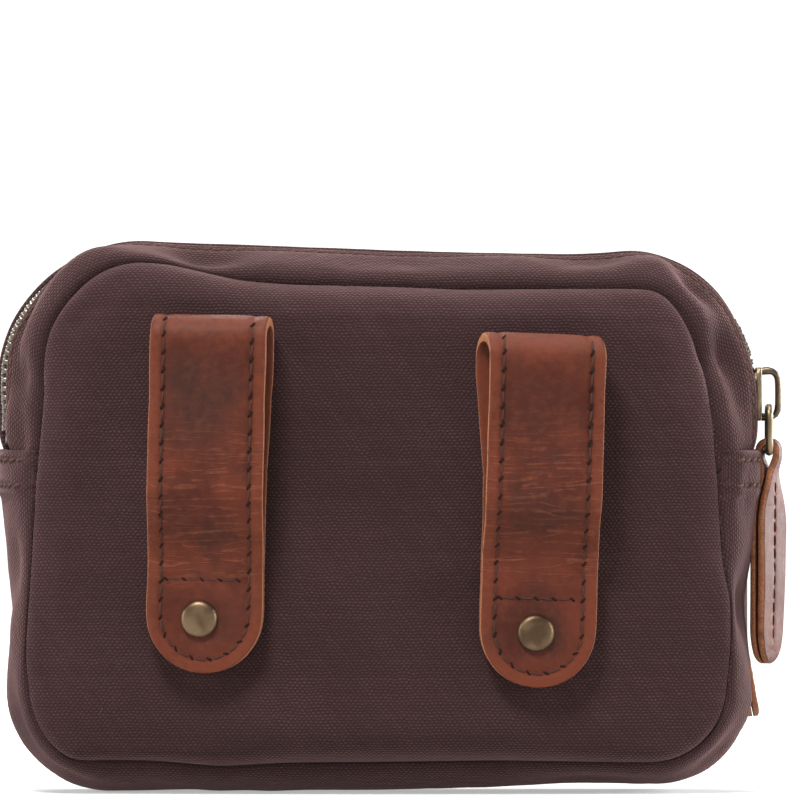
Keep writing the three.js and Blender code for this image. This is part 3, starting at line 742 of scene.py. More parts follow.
def panel_ring(s_values, depth, step, scale):
    """One ring of the belt-side panel: drawn in from the seam by a step, then shrunk to the middle."""
    ring = []
    foot = SEAM_BACK + 1.1
    for s in s_values:
        x, z, nx, nz = outline(s)
        inset = sample(SEAM, s) - 0.1 + step
        edge_x, edge_z = x + nx * inset, z + nz * inset
        x, z = CENTRE_X + (edge_x - CENTRE_X) * scale, CENTRE_Z + (edge_z - CENTRE_Z) * scale
        distance = step + math.hypot(edge_x - x, edge_z - z)
        rise = round_over(distance, ROLL)
        pucker = math.exp(-distance / 5.5) * 0.42 * ruffle(s, 0, 0, 5.2, 11) * min(distance / 1.2, 1)
        y = foot - (foot - crowned(x)) * rise
        y += (slack(x, 0, z) + fold_depth(x, z)) * min(distance / 5, 1) + pucker
        ring.append((x, y + depth * (0.35 + 0.65 * rise), z))
    return ring


for name, node, near, far, s_values, rings, cloth, slot in (
        ("canvas_back", "back_panel", 0, 1.4, PANEL_S, RINGS, CANVAS, "canvas"),
        ("lining_back", "back_lining", 3.4, 3.9, PANEL_S[::3], RINGS[3::2], LINING, "lining")):
    faces = [[panel_ring(s_values, depth, *ring) for ring in rings] for depth in (near, far)]
    middles = [(CENTRE_X, crowned(CENTRE_X) + depth, CENTRE_Z) for depth in (near, far)]
    settle(disc(name, *faces, *middles, [cloth]), "root", slot, node)


def across(start, end, count):
    """Columns across the wall, closer together where it turns in to the seams."""
    middle, reach = (start + end) / 2, (end - start) / 2
    return [middle + reach * math.sin(math.pi / 2 * t) for t in np.linspace(-1, 1, count)]


def wall_slack(s, y):
    """Unevenness of the wall: calmer beside the slider, and never sunk under the front panels' edge."""
    away = min(abs(s - s_right(CALM_Z)) / 14, 1.0)
    wave = 0.3 * ruffle(s, y, 0, 17, 4) + 0.16 * ruffle(s, y * 1.4, 0, 6.5, 8)
    seam = min((20 - abs(y)) / 5, 1.0)
    keep = min(seam + 0.45, 1) if y < 0 else clamp((16.5 - y) / 5)
    loose = (wave + 0.25 * (1 - seam) * ruffle(s, 0, y, 4.6, 2)) * away + hollow(s, y) * keep
    front = clamp((y - 11) / 4)
    return loose * (1 - front) + min(loose, 0.0) * front


HEM_LOW = 65.2
HEM_ROWS = (71.9, 66.4)  # heights of the hem's two rows of stitches
GUSSET_LINING_TOP = 72


def gusset_sink(s, y):
    """The hem at each end of the gusset is folded double, so it stands out from the strips under it."""
    z = outline(s)[1]
    hem = 0.9 * bell(max(HEM_LOW - z, 0.0), 1.4)
    lip = 0.6 * bell(GUSSET_TOP - z, 0.45)
    return wall_slack(s, y) - hem + lip + sum(0.45 * bell(z - row, 0.7) for row in HEM_ROWS)


s_values = denser(s_left(GUSSET_TOP) - PERIMETER, s_right(GUSSET_TOP), 1.8, 0.45, 11)
gusset = band("canvas_gusset", s_values, across(SEAM_BACK, SEAM_FRONT, 23), 1.4, CANVAS, gusset_sink)
settle(gusset, "root", "canvas", "lower_gusset")
s_values = spaced(s_left(GUSSET_LINING_TOP) - PERIMETER, s_right(GUSSET_LINING_TOP), 4)
gusset_lining = band("lining_gusset", s_values, across(-13, 13, 9), 0.5, LINING, lambda s, y: 3.2)
settle(gusset_lining, "root", "lining", "gusset_lining")


# ---- the main zip: strips, tapes, teeth and stops ----

SIDES = (("back", -1, "root"), ("front", 1, ZIP_BEND))  # each side's name, its sign along Y, its body
EDGE_GROOVE = 2.2  # from the strip's folded edge to its row of stitches
TOOTH_PITCH = 1.9
STOP = (0.9, 1.0, 0.8)  # half of a stop's length, width and height
WIDE_STOP = (0.9, 2.3, 1.0)

# Heights at which the zip's parts end, low on the pouch's sides.
STRIP_FOOT = 69.5
STITCH_FOOT = 76
BOTTOM_STOP_Z = 76.3
TOP_STOP_Z = {"back": 78.4, "front": 77.9}
LAST_TOOTH_Z = 78.2
FIRST_BACK_TOOTH_Z = 80.4
FRONT_TEETH_AFTER = 8.2  # from the slider's middle, along the zip


def strip_sink(s, y):
    """The strip's edge along the zip is folded under and stitched down."""
    z = outline(s)[1]
    from_edge = abs(y) - STRIP_EDGE
    groove = 0.28 * bell(from_edge - EDGE_GROOVE, 0.6)
    welt = -0.25 * bell(from_edge - 0.9, 1.1)
    tuck = 1.3 * bell(max(z - 72, 0), 3.4) if z < 84 else 0.0
    tuck *= clamp((abs(SEAM_BACK) - abs(y)) / 6, 0.12)
    shown = y < 0 or s < PERIMETER / 2
    bare = 0.6 * sample(CHAIN_SHOW, s) * bell(from_edge, 3.5) if shown else 0.0
    loose = wall_slack(s, y) * (0.35 + 0.65 * min(from_edge / 3, 1.0))
    held = bell(from_edge, 3.0)
    return loose * (1 - held) + min(loose, 0.5) * held + groove + welt + tuck + bare


def tape_sink(s, y):
    """The tape lies just under the teeth and dips beneath the strip's folded edge."""
    return CHAIN_DEPTH + 0.06 * ruffle(s, y, 0, 4, 1) + 0.6 * max(abs(y) - STRIP_EDGE + 1, 0)


s_values = spaced(s_right(STRIP_FOOT), s_left(STRIP_FOOT), 1.5)
for side, sign, body in SIDES:
    seam = abs(SEAM_BACK if sign < 0 else SEAM_FRONT)
    steps = [0, 0.25, 0.7, 1.3, 1.8, 2.2, 2.6, 3.3, 4.4, 5.7, 7.1, 8.6, 10, 11.2, seam - STRIP_EDGE]
    columns = sorted(sign * STRIP_EDGE + sign * step for step in steps)
    strip = band(f"canvas_strip_{side}", s_values, columns, 1.2, CANVAS, strip_sink)
    settle(strip, body, "canvas", f"{side}_zip_strip")
    columns = sorted(sign * y for y in (1.15, 1.6, 2.6, 4.2, 5.6, 7.2))
    tape = band(f"zip_tape_{side}", s_values, columns, 0.5, TAPE, tape_sink, chain_point)
    settle(tape, body, "zip_tape", f"{side}_zip_tape")


def tooth_part(sign):
    """One zip tooth: u runs along the chain, v away from its middle, w outwards from the tape."""
    half, foot = 0.56, 2.3
    left = [(-half, 0.75), (-half * 0.7, -0.15), (-0.3, -0.55)]
    low_left = [(-half * 0.7, foot), (-half * 1.1, foot - 0.3), (-half * 1.1, 1.5)]
    shape = left + [(-u, v) for u, v in left[::-1] + low_left[::-1]] + low_left
    return plate_part([(u, v * sign) for u, v in shape], -1.15, 1.15, 0.25, 1)


def stop_part(along, across_half, up_half):
    shape = [(-along, -across_half), (along, -across_half), (along, across_half), (-along, across_half)]
    return plate_part(shape, -up_half, up_half, 0.25)


def chain_frame(s, y, depth):
    """A 4 x 4 matrix whose axes run along the chain, towards +Y, and out of the pouch."""
    _, _, nx, nz = outline(s)
    x, _, z = chain_point(s, y, depth)
    return Matrix(((nz, 0, -nx, x), (0, 1, 0, y), (-nx, 0, -nz, z), (0, 0, 0, 1)))


def tooth_depth(s):
    """The chain rides a little prouder round the two top corners, where the cloth beside it sinks."""
    return CHAIN_DEPTH + 0.15 - 0.75 * sample(CHAIN_SHOW, s)


def tooth_shift(sign):
    """The two rows of teeth lie half a pitch apart, so that they mesh."""
    return 0 if sign < 0 else TOOTH_PITCH / 2


SLIDER_S = s_right(edge_mm("slider_body", 0, 2) / 2 + edge_mm("slider_body", 1, 2) / 2)
for side, sign, body in SIDES:
    start = s_right(FIRST_BACK_TOOTH_Z) if sign < 0 else SLIDER_S + FRONT_TEETH_AFTER
    shift = tooth_shift(sign)
    first = math.ceil((start - shift) / TOOTH_PITCH)
    last = math.floor((s_left(LAST_TOOTH_Z) - shift) / TOOTH_PITCH)
    teeth = []
    for index in range(first, last + 1):
        s = index * TOOTH_PITCH + shift
        parted = 0.55 * max(0.0, 1 - abs(s - SLIDER_S) / 16)
        depth = tooth_depth(s) + 0.05 * math.sin(index * 1.7)
        teeth.append(place_part(tooth_part(sign), chain_frame(s, sign * (0.62 + parted), depth)))
    settle(join_parts(f"zip_teeth_{side}", teeth, [CHAIN]), body, "antique_brass", f"{side}_zip_teeth")

for side, sign, body in SIDES:
    frame_at = chain_frame(s_right(TOP_STOP_Z[side]), sign * 2.45, CHAIN_DEPTH)
    stop = join_parts(f"zip_top_stop_{side}", [place_part(stop_part(*STOP), frame_at)], [NICKEL])
    settle(stop, body, "nickel", f"main_zip_top_stop_{side}")
frame_at = chain_frame(s_left(BOTTOM_STOP_Z), 0, CHAIN_DEPTH)
bottom_stop = join_parts("zip_bottom_stop", [place_part(stop_part(*WIDE_STOP), frame_at)], [NICKEL])
settle(bottom_stop, "root", "nickel", "main_zip_bottom_stop")


# ---- canvas stitching ----


def wall_seam(s_values, y_values, sink):
    """A path with its outward directions, on the wall's cloth."""
    path, normals = [], []
    for s, y in zip(s_values, y_values):
        here = np.array(wall_point(s, y, sink(s, y)))
        along = np.array(wall_point(s + 0.4, y, sink(s + 0.4, y))) - here
        over = np.array(wall_point(s, y + 0.4, sink(s, y + 0.4))) - here
        normal = np.cross(along, over)
        _, _, nx, nz = outline(s)
        if normal @ np.array((nx, 0, nz)) > 0:
            normal = -normal
        path.append(here)
        normals.append(normal / np.linalg.norm(normal))
    return path, normals


threads = []
y_values = np.linspace(-16.6, 17.2, 40)
for row in HEM_ROWS:
    for s in (s_right(row), s_left(row)):
        seam = wall_seam([s] * len(y_values), y_values, gusset_sink)
        threads += stitch_parts(*seam, 2.9, 2.2, 0.38, 0.25)
settle(join_parts("stitching_hems", threads, [PLUM_THREAD]), "root", "canvas")

FINE_STITCH = (2.5, 2.0, 0.28)  # pitch, length and radius
s_values = spaced(s_right(STITCH_FOOT), s_left(STITCH_FOOT), 2)
for side, sign, body in SIDES:
    y_values = [sign * (STRIP_EDGE + EDGE_GROOVE)] * len(s_values)
    threads = stitch_parts(*wall_seam(s_values, y_values, strip_sink), *FINE_STITCH)
    settle(join_parts(f"stitching_zip_{side}", threads, [PLUM_THREAD]), body, "canvas")


# ---- front side: two panels with a zip between them ----

LOWER_TOP = edge_mm("front_pocket_panel", 1, 2)
UPPER_LOW = edge_mm("front_panel_upper", 0, 2)
PANEL_GROOVE = 2.4  # from a panel's folded edge along the pocket zip to its row of stitches
FRONT_ROLL = 2.2  # how far the front panels turn in at their seam
CORNER_STEPS = (0.15, 0.4, 0.8, 1.3, 2.0, 2.8, 3.8, 5)
POCKET_SLIDER_X, POCKET_STOP_X = 71.7, -77.1
POCKET_TEETH_END = 64  # the last tooth's greatest X
POCKET_CHAIN_Y = 18.75


def edge_distance(x, z, inset):
    """How far a place lies inside the plain outline drawn in by inset."""
    high = z > HEIGHT / 2
    radius = TOP_RADIUS if high else BOTTOM_RADIUS
    level = HEIGHT - z if high else z
    across = HALF - abs(x)
    if level < radius and across < radius:
        return radius - math.hypot(radius - level, radius - across) - inset
    return min(level, across) - inset


def half_width(z, inset):
    """Half the width of the plain outline, drawn in by inset, at a height."""
    for level, radius in ((HEIGHT - z, TOP_RADIUS), (z, BOTTOM_RADIUS)):
        if level < radius:
            reach = max((radius - inset) ** 2 - (radius - level) ** 2, 0.0)
            return HALF - radius + math.sqrt(reach)
    return HALF - inset


def flat_cloth(name, z_values, inset, face, thickness, material, u_count=61):
    """A closed sheet over the plain outline drawn in by inset. face(x, z) is its outer side."""
    outer, inner, uvs = [], [], []
    for z in z_values:
        w = half_width(z, inset)
        xs = [x * w for x in across(-1, 1, u_count)]
        outer.append([(x, face(x, z), z) for x in xs])
        inner.append([(x, face(x, z) - thickness, z) for x in xs])
        uvs.append([(x, z) for x in xs])
    return slab(name, outer, inner, [material], uvs)


def heights(low, high, step, round_end):
    """Heights from low to high, closer together towards the end where the outline turns its corners."""
    corner = [high - d for d in CORNER_STEPS] if round_end == "high" else [low + d for d in CORNER_STEPS]
    return sorted(set(round(v, 3) for v in list(spaced(low, high, step)) + corner))


def zip_side_shape(gap_to_zip):
    """The fold and stitch row of a panel's edge along the pocket zip."""
    groove = 0.28 * bell(gap_to_zip - PANEL_GROOVE, 0.6)
    return 0.35 * bell(gap_to_zip - 1.0, 1.2) - groove - 0.5 * bell(gap_to_zip, 0.35)


def lower_face(x, z):
    rise = round_over(edge_distance(x, z, FRONT_SEAM), 6)
    belly = 0.9 * math.cos(x / HALF * math.pi / 2) * math.sin(clamp(z / LOWER_TOP) * math.pi)
    cloth = (belly - slack(x, 0, z, 31)) * rise
    return FRONT_FACE - FRONT_ROLL * (1 - rise) + cloth + zip_side_shape(LOWER_TOP - z)


def upper_face(x, z):
    rise = round_over(edge_distance(x, z, FRONT_SEAM), 6)
    cloth = -slack(x, 0, z, 57) * rise * 0.9
    return FRONT_FACE - FRONT_ROLL * (1 - rise) + cloth + zip_side_shape(z - UPPER_LOW)


zs = heights(FRONT_SEAM, LOWER_TOP - 5, 1.6, "low")
zs += list(np.arange(LOWER_TOP - 4.6, LOWER_TOP + 0.01, 0.4))
pocket_panel = flat_cloth("canvas_pocket", zs, FRONT_SEAM, lower_face, 1.2, CANVAS)
settle(pocket_panel, "root", "canvas", "front_pocket_panel")
zs = list(np.arange(UPPER_LOW, UPPER_LOW + 4.7, 0.4))
zs += heights(UPPER_LOW + 5, HEIGHT - FRONT_SEAM, 1.6, "high")
front_upper = flat_cloth("canvas_front_upper", zs, FRONT_SEAM, upper_face, 1.2, CANVAS)
settle(front_upper, PANEL_BEND, "canvas", "front_panel_upper")

for name, zs, inset, node, body in (
        ("lining_front", heights(77, 113, 4, "high"), 4.2, "front_lining_upper", "front_flap"),
        ("lining_pocket", heights(5, 75, 4, "low"), 5, "pocket_backing", "root")):
    face_y = edge_mm(node, 1, 1)
    lining = flat_cloth(name, zs, inset, lambda x, z: face_y - 0.3 + 0.5 * slack(x, 9, z, face_y),
                        0.6, LINING, 31)
    settle(lining, body, "lining", node)


def pocket_frame(x, y, z):
    """A 4 x 4 matrix whose axes run along the pocket zip, up, and out of the front."""
    return Matrix(((1, 0, 0, x), (0, 0, 1, y), (0, 1, 0, z), (0, 0, 0, 1)))


for side, sign, steps in (("lower", -1, (8.8, 6.8, 4.5, 2.6, 1.7, 1.2)), ("upper", 1, (1.2, 1.7, 2.6, 4.5))):
    tape_y = edge_mm(f"pocket_zip_tape_{side}", 1, 1)
    zs = [POCKET_ZIP_Z + sign * d for d in steps]
    tape = flat_cloth(f"pocket_tape_{side}", zs, 2.6, lambda x, z: tape_y + 0.05 * ruffle(x, 0, z, 4, 9),
                      0.5, TAPE, 71)
    settle(tape, "root", "zip_tape", f"pocket_zip_tape_{side}")
    teeth = []
    for index in range(-40, 40):
        x = index * TOOTH_PITCH + tooth_shift(sign)
        if x <= POCKET_TEETH_END:
            parted = 0.4 * max(0.0, 1 - abs(x - POCKET_SLIDER_X) / 12)
            frame_at = pocket_frame(x, tape_y - 0.2, POCKET_ZIP_Z + sign * (0.62 + parted))
            teeth.append(place_part(tooth_part(sign), frame_at))
    row = join_parts(f"pocket_teeth_{side}", teeth, [CHAIN])
    settle(row, "root", "antique_brass", f"pocket_zip_teeth_{side}")

frame_at = pocket_frame(POCKET_STOP_X, POCKET_CHAIN_Y, POCKET_ZIP_Z)
pocket_stop = join_parts("pocket_bottom_stop", [place_part(stop_part(*WIDE_STOP), frame_at)], [NICKEL])
settle(pocket_stop, "root", "nickel", "pocket_zip_bottom_stop")

for name, face, z, body in (("stitching_pocket", lower_face, LOWER_TOP - PANEL_GROOVE, "root"),
                            ("stitching_front", upper_face, UPPER_LOW + PANEL_GROOVE, PANEL_BEND)):
    xs = np.linspace(-half_width(z, 4.5), half_width(z, 4.5), 90)
    threads = stitch_parts([(x, face(x, z), z) for x in xs], [(0, 1, 0)] * len(xs), *FINE_STITCH)
    settle(join_parts(name, threads, [PLUM_THREAD]), body, "canvas")


# ---- belt loops and rivets ----

LEATHER_THICK, BELT_GAP, CLEARANCE = 2.2, 6.4, 0.3
LOOP_HALF = 12.5
JOIN_TOP, JOIN_LOW = 66.0, 49.0  # the strap bends in between these heights, until its two layers touch
SEAM_INSET = 3  # of the stitches, from the strap's edge
FOLD_STEPS = 16
SADDLE_STITCH = (3.9, 2.7, 0.25)  # pitch, length and radius
BACK_LAYER = CLEARANCE + LEATHER_THICK / 2
RAISED = CLEARANCE + LEATHER_THICK * 1.5 + BELT_GAP
CLOSED = CLEARANCE * 2 + LEATHER_THICK * 1.5
FOLD_RADIUS = (RAISED - BACK_LAYER) / 2

# Heights of the fold, foot, rivet and cross seam; lean in degrees; how far the rivet sits aside and the back
# layer is skewed; and dark patches as (x, z, reach across, reach up, depth).
LOOPS = {
    "left": {
        "x": -37.7, "top": 103.3, "foot": 26.1, "rivet": 37.8, "cross": 46.3, "lean": 1.3, "seed": 3.0,
        "aside": -1.1, "skew": 0.9,
        "smoke": [(-1, 83, 9, 10, 0.95), (0, 57, 10, 6, 0.35), (3, 37, 8, 7, 0.7), (-6, 93, 4, 5, 0.4)],
    },
    "right": {
        "x": 33.5, "top": 99.3, "foot": 23.0, "rivet": 34.8, "cross": 42.2, "lean": 1.65, "seed": 21.0,
        "aside": -0.5, "skew": -2.3,
        "smoke": [(-3, 80, 8, 9, 0.4), (5, 68, 5, 14, 0.3), (0, 34, 8, 7, 0.5), (-5, 52, 5, 7, 0.2)],
    },
}

# Half of the columns across a strap, as the distance in from its edge and how far its face is rounded down.
STRAP_EDGES = [(0, 0.42), (0.12, 0.2), (0.35, 0.06)]
STRAP_EDGES += [(e, 0.0) for e in (0.7, 1.4, 2.0, 2.5, 3.0, 3.5, 4.0, 4.8, 6.2, 7.8, 9.3, 10.9)]

CAP_PROFILE = [(0.02, 1.15), (0.8, 1.15), (1.7, 1.13), (2.5, 1.08), (3.0, 1.0), (3.4, 0.86), (3.75, 0.58),
               (3.98, 0.22), (4.02, 0.0), (3.9, -0.14), (3.5, -0.2), (0.02, -0.2)]
STEM_PROFILE = [(0.02, -3.7), (3.4, -3.7), (3.6, -3.5), (3.5, -3.15), (1.25, -3.1), (1.25, 4.8), (0.02, 4.8)]


def loop_frame(spec):
    """The matrix of a loop: its axes run across the strap, into the pouch, and up; z is still the height."""
    turn = math.asin(spec["x"] / CROWN_RADIUS)
    y = PANEL_FRONT + CROWN_RADIUS * (1 - math.cos(turn))
    lean = Matrix.Translation((0, 0, spec["rivet"])) @ Matrix.Rotation(math.radians(spec["lean"]), 4, "Y")
    lean = lean @ Matrix.Translation((0, 0, -spec["rivet"]))
    return Matrix.Translation((spec["x"], y, 0)) @ Matrix.Rotation(turn, 4, "Z") @ lean


def fold_height(spec):
    return spec["top"] - FOLD_RADIUS - LEATHER_THICK / 2


def front_layer(z):
    """How far out the middle of the front layer lies at a height: it bends in to meet the back layer."""
    return CLOSED + (RAISED - CLOSED) * smooth((z - JOIN_LOW) / (JOIN_TOP - JOIN_LOW))


def loop_path(spec):
    """The middle of the strap's thickness, as (outwards, height), up behind and down in front."""
    fold_z, foot = fold_height(spec), spec["foot"]
    path = [(BACK_LAYER, z) for z in denser(foot, fold_z, 2.5, 0.4, 4)]
    for angle in np.linspace(0, math.pi, FOLD_STEPS + 1)[1:-1]:
        out = BACK_LAYER + FOLD_RADIUS - FOLD_RADIUS * math.cos(angle)
        path.append((out, fold_z + FOLD_RADIUS * math.sin(angle)))
    path += [(RAISED, z) for z in spaced(fold_z, JOIN_TOP + 1, 1.5)]
    path += [(front_layer(z), z) for z in spaced(JOIN_TOP, JOIN_LOW, 0.9)]
    path += [(CLOSED, z) for z in spaced(JOIN_LOW - 1, foot + 4, 1.2)]
    return path + [(CLOSED, z) for z in np.linspace(foot + 3.6, foot, 10)]


def strap_half(spec, z):
    """Half the strap's width at a height; its foot is a half circle."""
    drop = spec["foot"] + LOOP_HALF - z
    if drop <= 0:
        return LOOP_HALF
    return max(math.sqrt(max(LOOP_HALF ** 2 - drop ** 2, 0)), 0.4)


def from_strap_edge(spec, x, z):
    """How far a place lies inside the strap's edge."""
    arc_z = spec["foot"] + LOOP_HALF
    return LOOP_HALF - abs(x) if z > arc_z else LOOP_HALF - math.hypot(x, z - arc_z)


def strap_relief(spec, x, z, front=True):
    """How far the leather's face rises from flat: stitch grooves, wrinkles where it bends, and wear."""
    seed = spec["seed"]
    rise = 0.22 * ruffle(x, 0, z, 19, seed) + 0.1 * ruffle(x, 0, z, 7, seed + 5)
    if not front:
        return rise * 0.25
    rise -= 0.24 * bell(from_strap_edge(spec, x, z) - SEAM_INSET, 0.7)
    if strap_half(spec, z) - abs(x) > SEAM_INSET:
        rise -= 0.24 * bell(z - spec["cross"], 0.7)
    if z < spec["cross"] + 3:
        rise -= 0.3 * bell(math.hypot(x - spec["aside"], z - spec["rivet"]) - 4.4, 1.3)
    bend_here = bell(z - 61, 11)
    warp = 2.2 * noise.noise(Vector((x / 14, z / 18, seed)))
    wrinkle = noise.noise(Vector((x / 26 + seed, 0, (z + warp) / 2.6)))
    creases = noise.noise(Vector((x / 20, seed, (z + warp) / 5.5)))
    return rise + bend_here * (0.2 * creases - 0.34 * max(0.0, 0.35 - abs(wrinkle)) / 0.35)


def strap_columns(half):
    """Places across the strap, and how much its face is rounded down at each."""
    left = [(-half + e * half / LOOP_HALF, drop) for e, drop in STRAP_EDGES]
    return left + [(0.0, 0.0)] + [(-x, drop) for x, drop in left[::-1]]


def leather_mark(spec, x, z, front):
    """Above 0 where the leather is lighter, rubbed at its edges and with a painted highlight over the fold's
    top; below 0 where smoky.
    """
    light = clamp((3.4 - from_strap_edge(spec, x, z)) / 1.6)
    if not front:
        return light
    # Painted highlight: the top of the fold made lighter, as if lit from above.
    light = max(light, 0.9 * clamp((z - spec["top"] + 9) / 7))
    smoke = sum(depth * math.exp(-((x - at) / wide) ** 2 - ((z - level) / tall) ** 2)
                for at, level, wide, tall, depth in spec["smoke"])
    return light - smoke * (1 - light)


def leather_strip(name, path, row_at, placed):
    """A folded strip along the (outwards, height) path of its middle. row_at(index) lists its columns there,
    each as how far across it lies, how far out its two faces lie from the middle, and its leather's mark.
    placed turns (across, outwards, height) into a place on the pouch."""
    tangents = tangents_along([(v, 0, z) for v, z in path])
    outer, inner, marks = [], [], []
    for i, (v, z) in enumerate(path):
        out_v, out_z = -tangents[i][2], tangents[i][0]
        row = row_at(i)
        outer.append([placed(x, v + out_v * out, z + out_z * out) for x, out, _, _ in row])
        inner.append([placed(x, v + out_v * into, z + out_z * into) for x, _, into, _ in row])
        marks.append([mark for _, _, _, mark in row])
    piece = slab(name, outer, inner, [LEATHER, RAW_EDGE])
    layer = piece.data.attributes.new("wear_and_highlight", "FLOAT", "POINT")
    layer.data.foreach_set("value", both_sides(marks, marks).ravel().astype(np.float32))
    return piece


def belt_strap(side, spec, placed):
    path = loop_path(spec)
    fold = next(i for i, (v, _) in enumerate(path) if v > BACK_LAYER + 0.01)

    def row_at(i):
        v, z = path[i]
        wander = 0.16 * noise.noise(Vector((spec["seed"], 0, z / 9)))
        behind = clamp((RAISED - v) / (RAISED - BACK_LAYER)) if i <= fold + FOLD_STEPS else 0.0
        skew = spec["skew"] * behind * clamp((z - 68) / 22)
        fade = clamp((i - fold) / 8)
        curl = 0.5 * fade * bell(z - 84, 16)
        row = []
        for x, drop in strap_columns(strap_half(spec, z)):
            relief = strap_relief(spec, x, z, i > fold) * (1 if i < fold else fade)
            cup = curl * (x / LOOP_HALF) ** 2 * (1 if x > 0 else 0.6)
            out = LEATHER_THICK / 2 - drop + relief - cup
            into = -LEATHER_THICK / 2 + drop * 0.6 - cup + 0.3 * relief * fade
            mark = leather_mark(spec, x, z, i > fold - 3)
            row.append((x + wander * (x / LOOP_HALF) + skew, out, into, mark))
        return row

    strap = leather_strip(f"leather_loop_{side}", path, row_at, placed)
    settle(strap, "root", "leather", f"belt_loop_{side}")


def strap_seam(spec, points, placed):
    """A path with its outward directions on the strap's front, from (across, height) points."""
    fold_z, face = fold_height(spec), LEATHER_THICK / 2
    path, normals = [], []
    for x, z in points:
        relief = strap_relief(spec, x, z)
        if z > fold_z:
            angle = math.asin(min((z - fold_z) / (FOLD_RADIUS + face), 0.97))
            out, up = math.cos(angle), math.sin(angle)
            lift = FOLD_RADIUS + face + relief
            here = placed(x, BACK_LAYER + FOLD_RADIUS + lift * out, fold_z + lift * up)
        else:
            t = clamp((z - JOIN_LOW) / (JOIN_TOP - JOIN_LOW))
            slope = (RAISED - CLOSED) * 6 * t * (1 - t) / (JOIN_TOP - JOIN_LOW)
            size = math.hypot(1, slope)
            out, up = 1 / size, -slope / size
            here = placed(x, front_layer(z) + out * (face + relief), z + up * (face + relief))
        path.append(here)
        normals.append(placed(0, out, up) - placed(0, 0, 0))
    return path, normals


def loop_stitches(side, spec, placed):
    """The seam round the strap and the one across it: threads, with a slanting near-black mark at each dive,
    painted shade of the needle hole.
    """
    top, arc_z, inset = spec["top"] - 0.9, spec["foot"] + LOOP_HALF, LOOP_HALF - SEAM_INSET
    around = [(-inset, z) for z in spaced(top, arc_z, 0.8)]
    around += [(inset * math.cos(a), arc_z + inset * math.sin(a))
               for a in np.linspace(math.pi, TAU, 30)[1:-1]]
    around += [(inset, z) for z in spaced(arc_z, top, 0.8)]
    cross = [(x, spec["cross"]) for x in np.linspace(-inset + 1, inset - 1, 12)]
    pitch, length, radius = SADDLE_STITCH
    parts, slots = [], []
    for points in (around, cross):
        seam = strap_seam(spec, points, placed)
        threads = stitch_parts(*seam, pitch, length, radius, -0.06, lift=0.35)
        # Near-black marks at each dive: painted shade in the needle holes.
        hole_shades = stitch_parts(*seam, pitch, 1.45, radius * 1.05, -0.62, start=0.0, lift=0.4)
        parts += threads + hole_shades
        slots += [0] * len(threads) + [1] * len(hole_shades)
    settle(join_parts(f"stitching_loop_{side}", parts, [BROWN_THREAD, HOLE_SHADE], slots), "root", "leather")


for side, spec in LOOPS.items():
    matrix = loop_frame(spec)
    turn, origin = np.array(matrix.to_3x3()), np.array(matrix.translation)

    def placed(x, out, z):
        return turn @ np.array((x, -out, z)) + origin

    belt_strap(side, spec, placed)
    loop_stitches(side, spec, placed)
    seat = 2 * (CLEARANCE + LEATHER_THICK) + 0.05
    for piece, node, depth, profile, sides in (("head", "cap", seat, CAP_PROFILE, 40),
                                               ("stem", "post", 0, STEM_PROFILE, 24)):
        seated = matrix @ Matrix.Translation((spec["aside"], -depth, spec["rivet"]))
        seated = seated @ Matrix.Rotation(math.pi / 2, 4, "X")
        part = place_part(lathe_part(profile, sides), seated)
        settle(join_parts(f"rivet_{piece}_{side}", [part], [RIVET_BRASS]), "root", "antique_brass",
               f"rivet_{node}_{side}")


# ---- sliders, rings and pull tabs ----
# A slider is drawn in its own frame: u along its travel, v across the chain, w out of the cloth. Its ring and
# tab hang down from their own origins, at the top of each.

SLIDER_HALF, SLIDER_WIDE, SLIDER_NARROW = 5.8, 4.8, 3.7
FRONT_OUTER_Y = 20.5  # the front panels' plain face, which the pocket slider is seated on
RING_HALF, RING_DROP, RING_CORNER, WIRE = 5.0, 9.7, 2.2, 0.8
TAB_LENGTH, TAB_HALF, TAB_NECK, TAB_TIP, TAB_LAYER = 46.4, 6.7, 2.8, 8.5, 1.5
NECK_END, SHOULDER_END = 3, 16  # distances below the ring
TAB_FACE = TAB_LAYER / 2
TAB_MARK = 0.3  # how far a tab's leather is rubbed lighter

# Half of the columns across a tab, as a share of its half width and how far its face is rounded down.
TAB_EDGES = [(1, 0.3), (0.98, 0.13), (0.95, 0.03)]
TAB_EDGES += [(1 - share, 0) for share in (0.11, 0.2, 0.35, 0.5, 0.65, 0.8, 0.88, 0.94)]
TAB_COLUMNS = [(-share, drop) for share, drop in TAB_EDGES] + [(0, 0)] + TAB_EDGES[::-1]


def slider_parts():
    """The two plates, their side lips and the wedge between them."""
    half, wide, narrow = SLIDER_HALF, SLIDER_WIDE, SLIDER_NARROW
    plate = [
        (-half, -narrow + 0.7), (-half + 0.5, -narrow), (-2.2, -narrow - 0.1), (0.4, -wide + 0.25),
        (1.6, -wide), (half - 1.3, -wide), (half - 0.4, -wide + 0.5), (half, -wide + 1.4),
        (half - 0.3, -1.6), (half - 0.7, 0),
    ]
    plate += [(u, -v) for u, v in plate[-2:0:-1]] + [(-half, narrow - 0.7)]
    parts = [plate_part(plate, low, high, 0.4, 3) for low, high in ((-0.15, 1.2), (-5.1, -3.85))]
    lip = [(-half + 0.4, narrow - 0.75), (-1.2, narrow - 0.75), (half - 1.2, wide - 0.95),
           (half - 1.2, wide - 0.1), (1.6, wide - 0.1), (-1.2, narrow + 0.1), (-half + 0.4, narrow - 0.05)]
    for sign in (-1, 1):
        for low, high in ((-0.75, 0.9), (-4.9, -3.3)):
            parts.append(plate_part([(u, sign * v) for u, v in lip], low, high, 0.2, 1))
    wedge = [(half - 2.4, 0.5), (half - 0.9, 0.7), (half - 0.9, -0.7), (half - 2.4, -0.5)]
    return parts + [plate_part(wedge, -4.5, 0.5, 0.1, 1)]


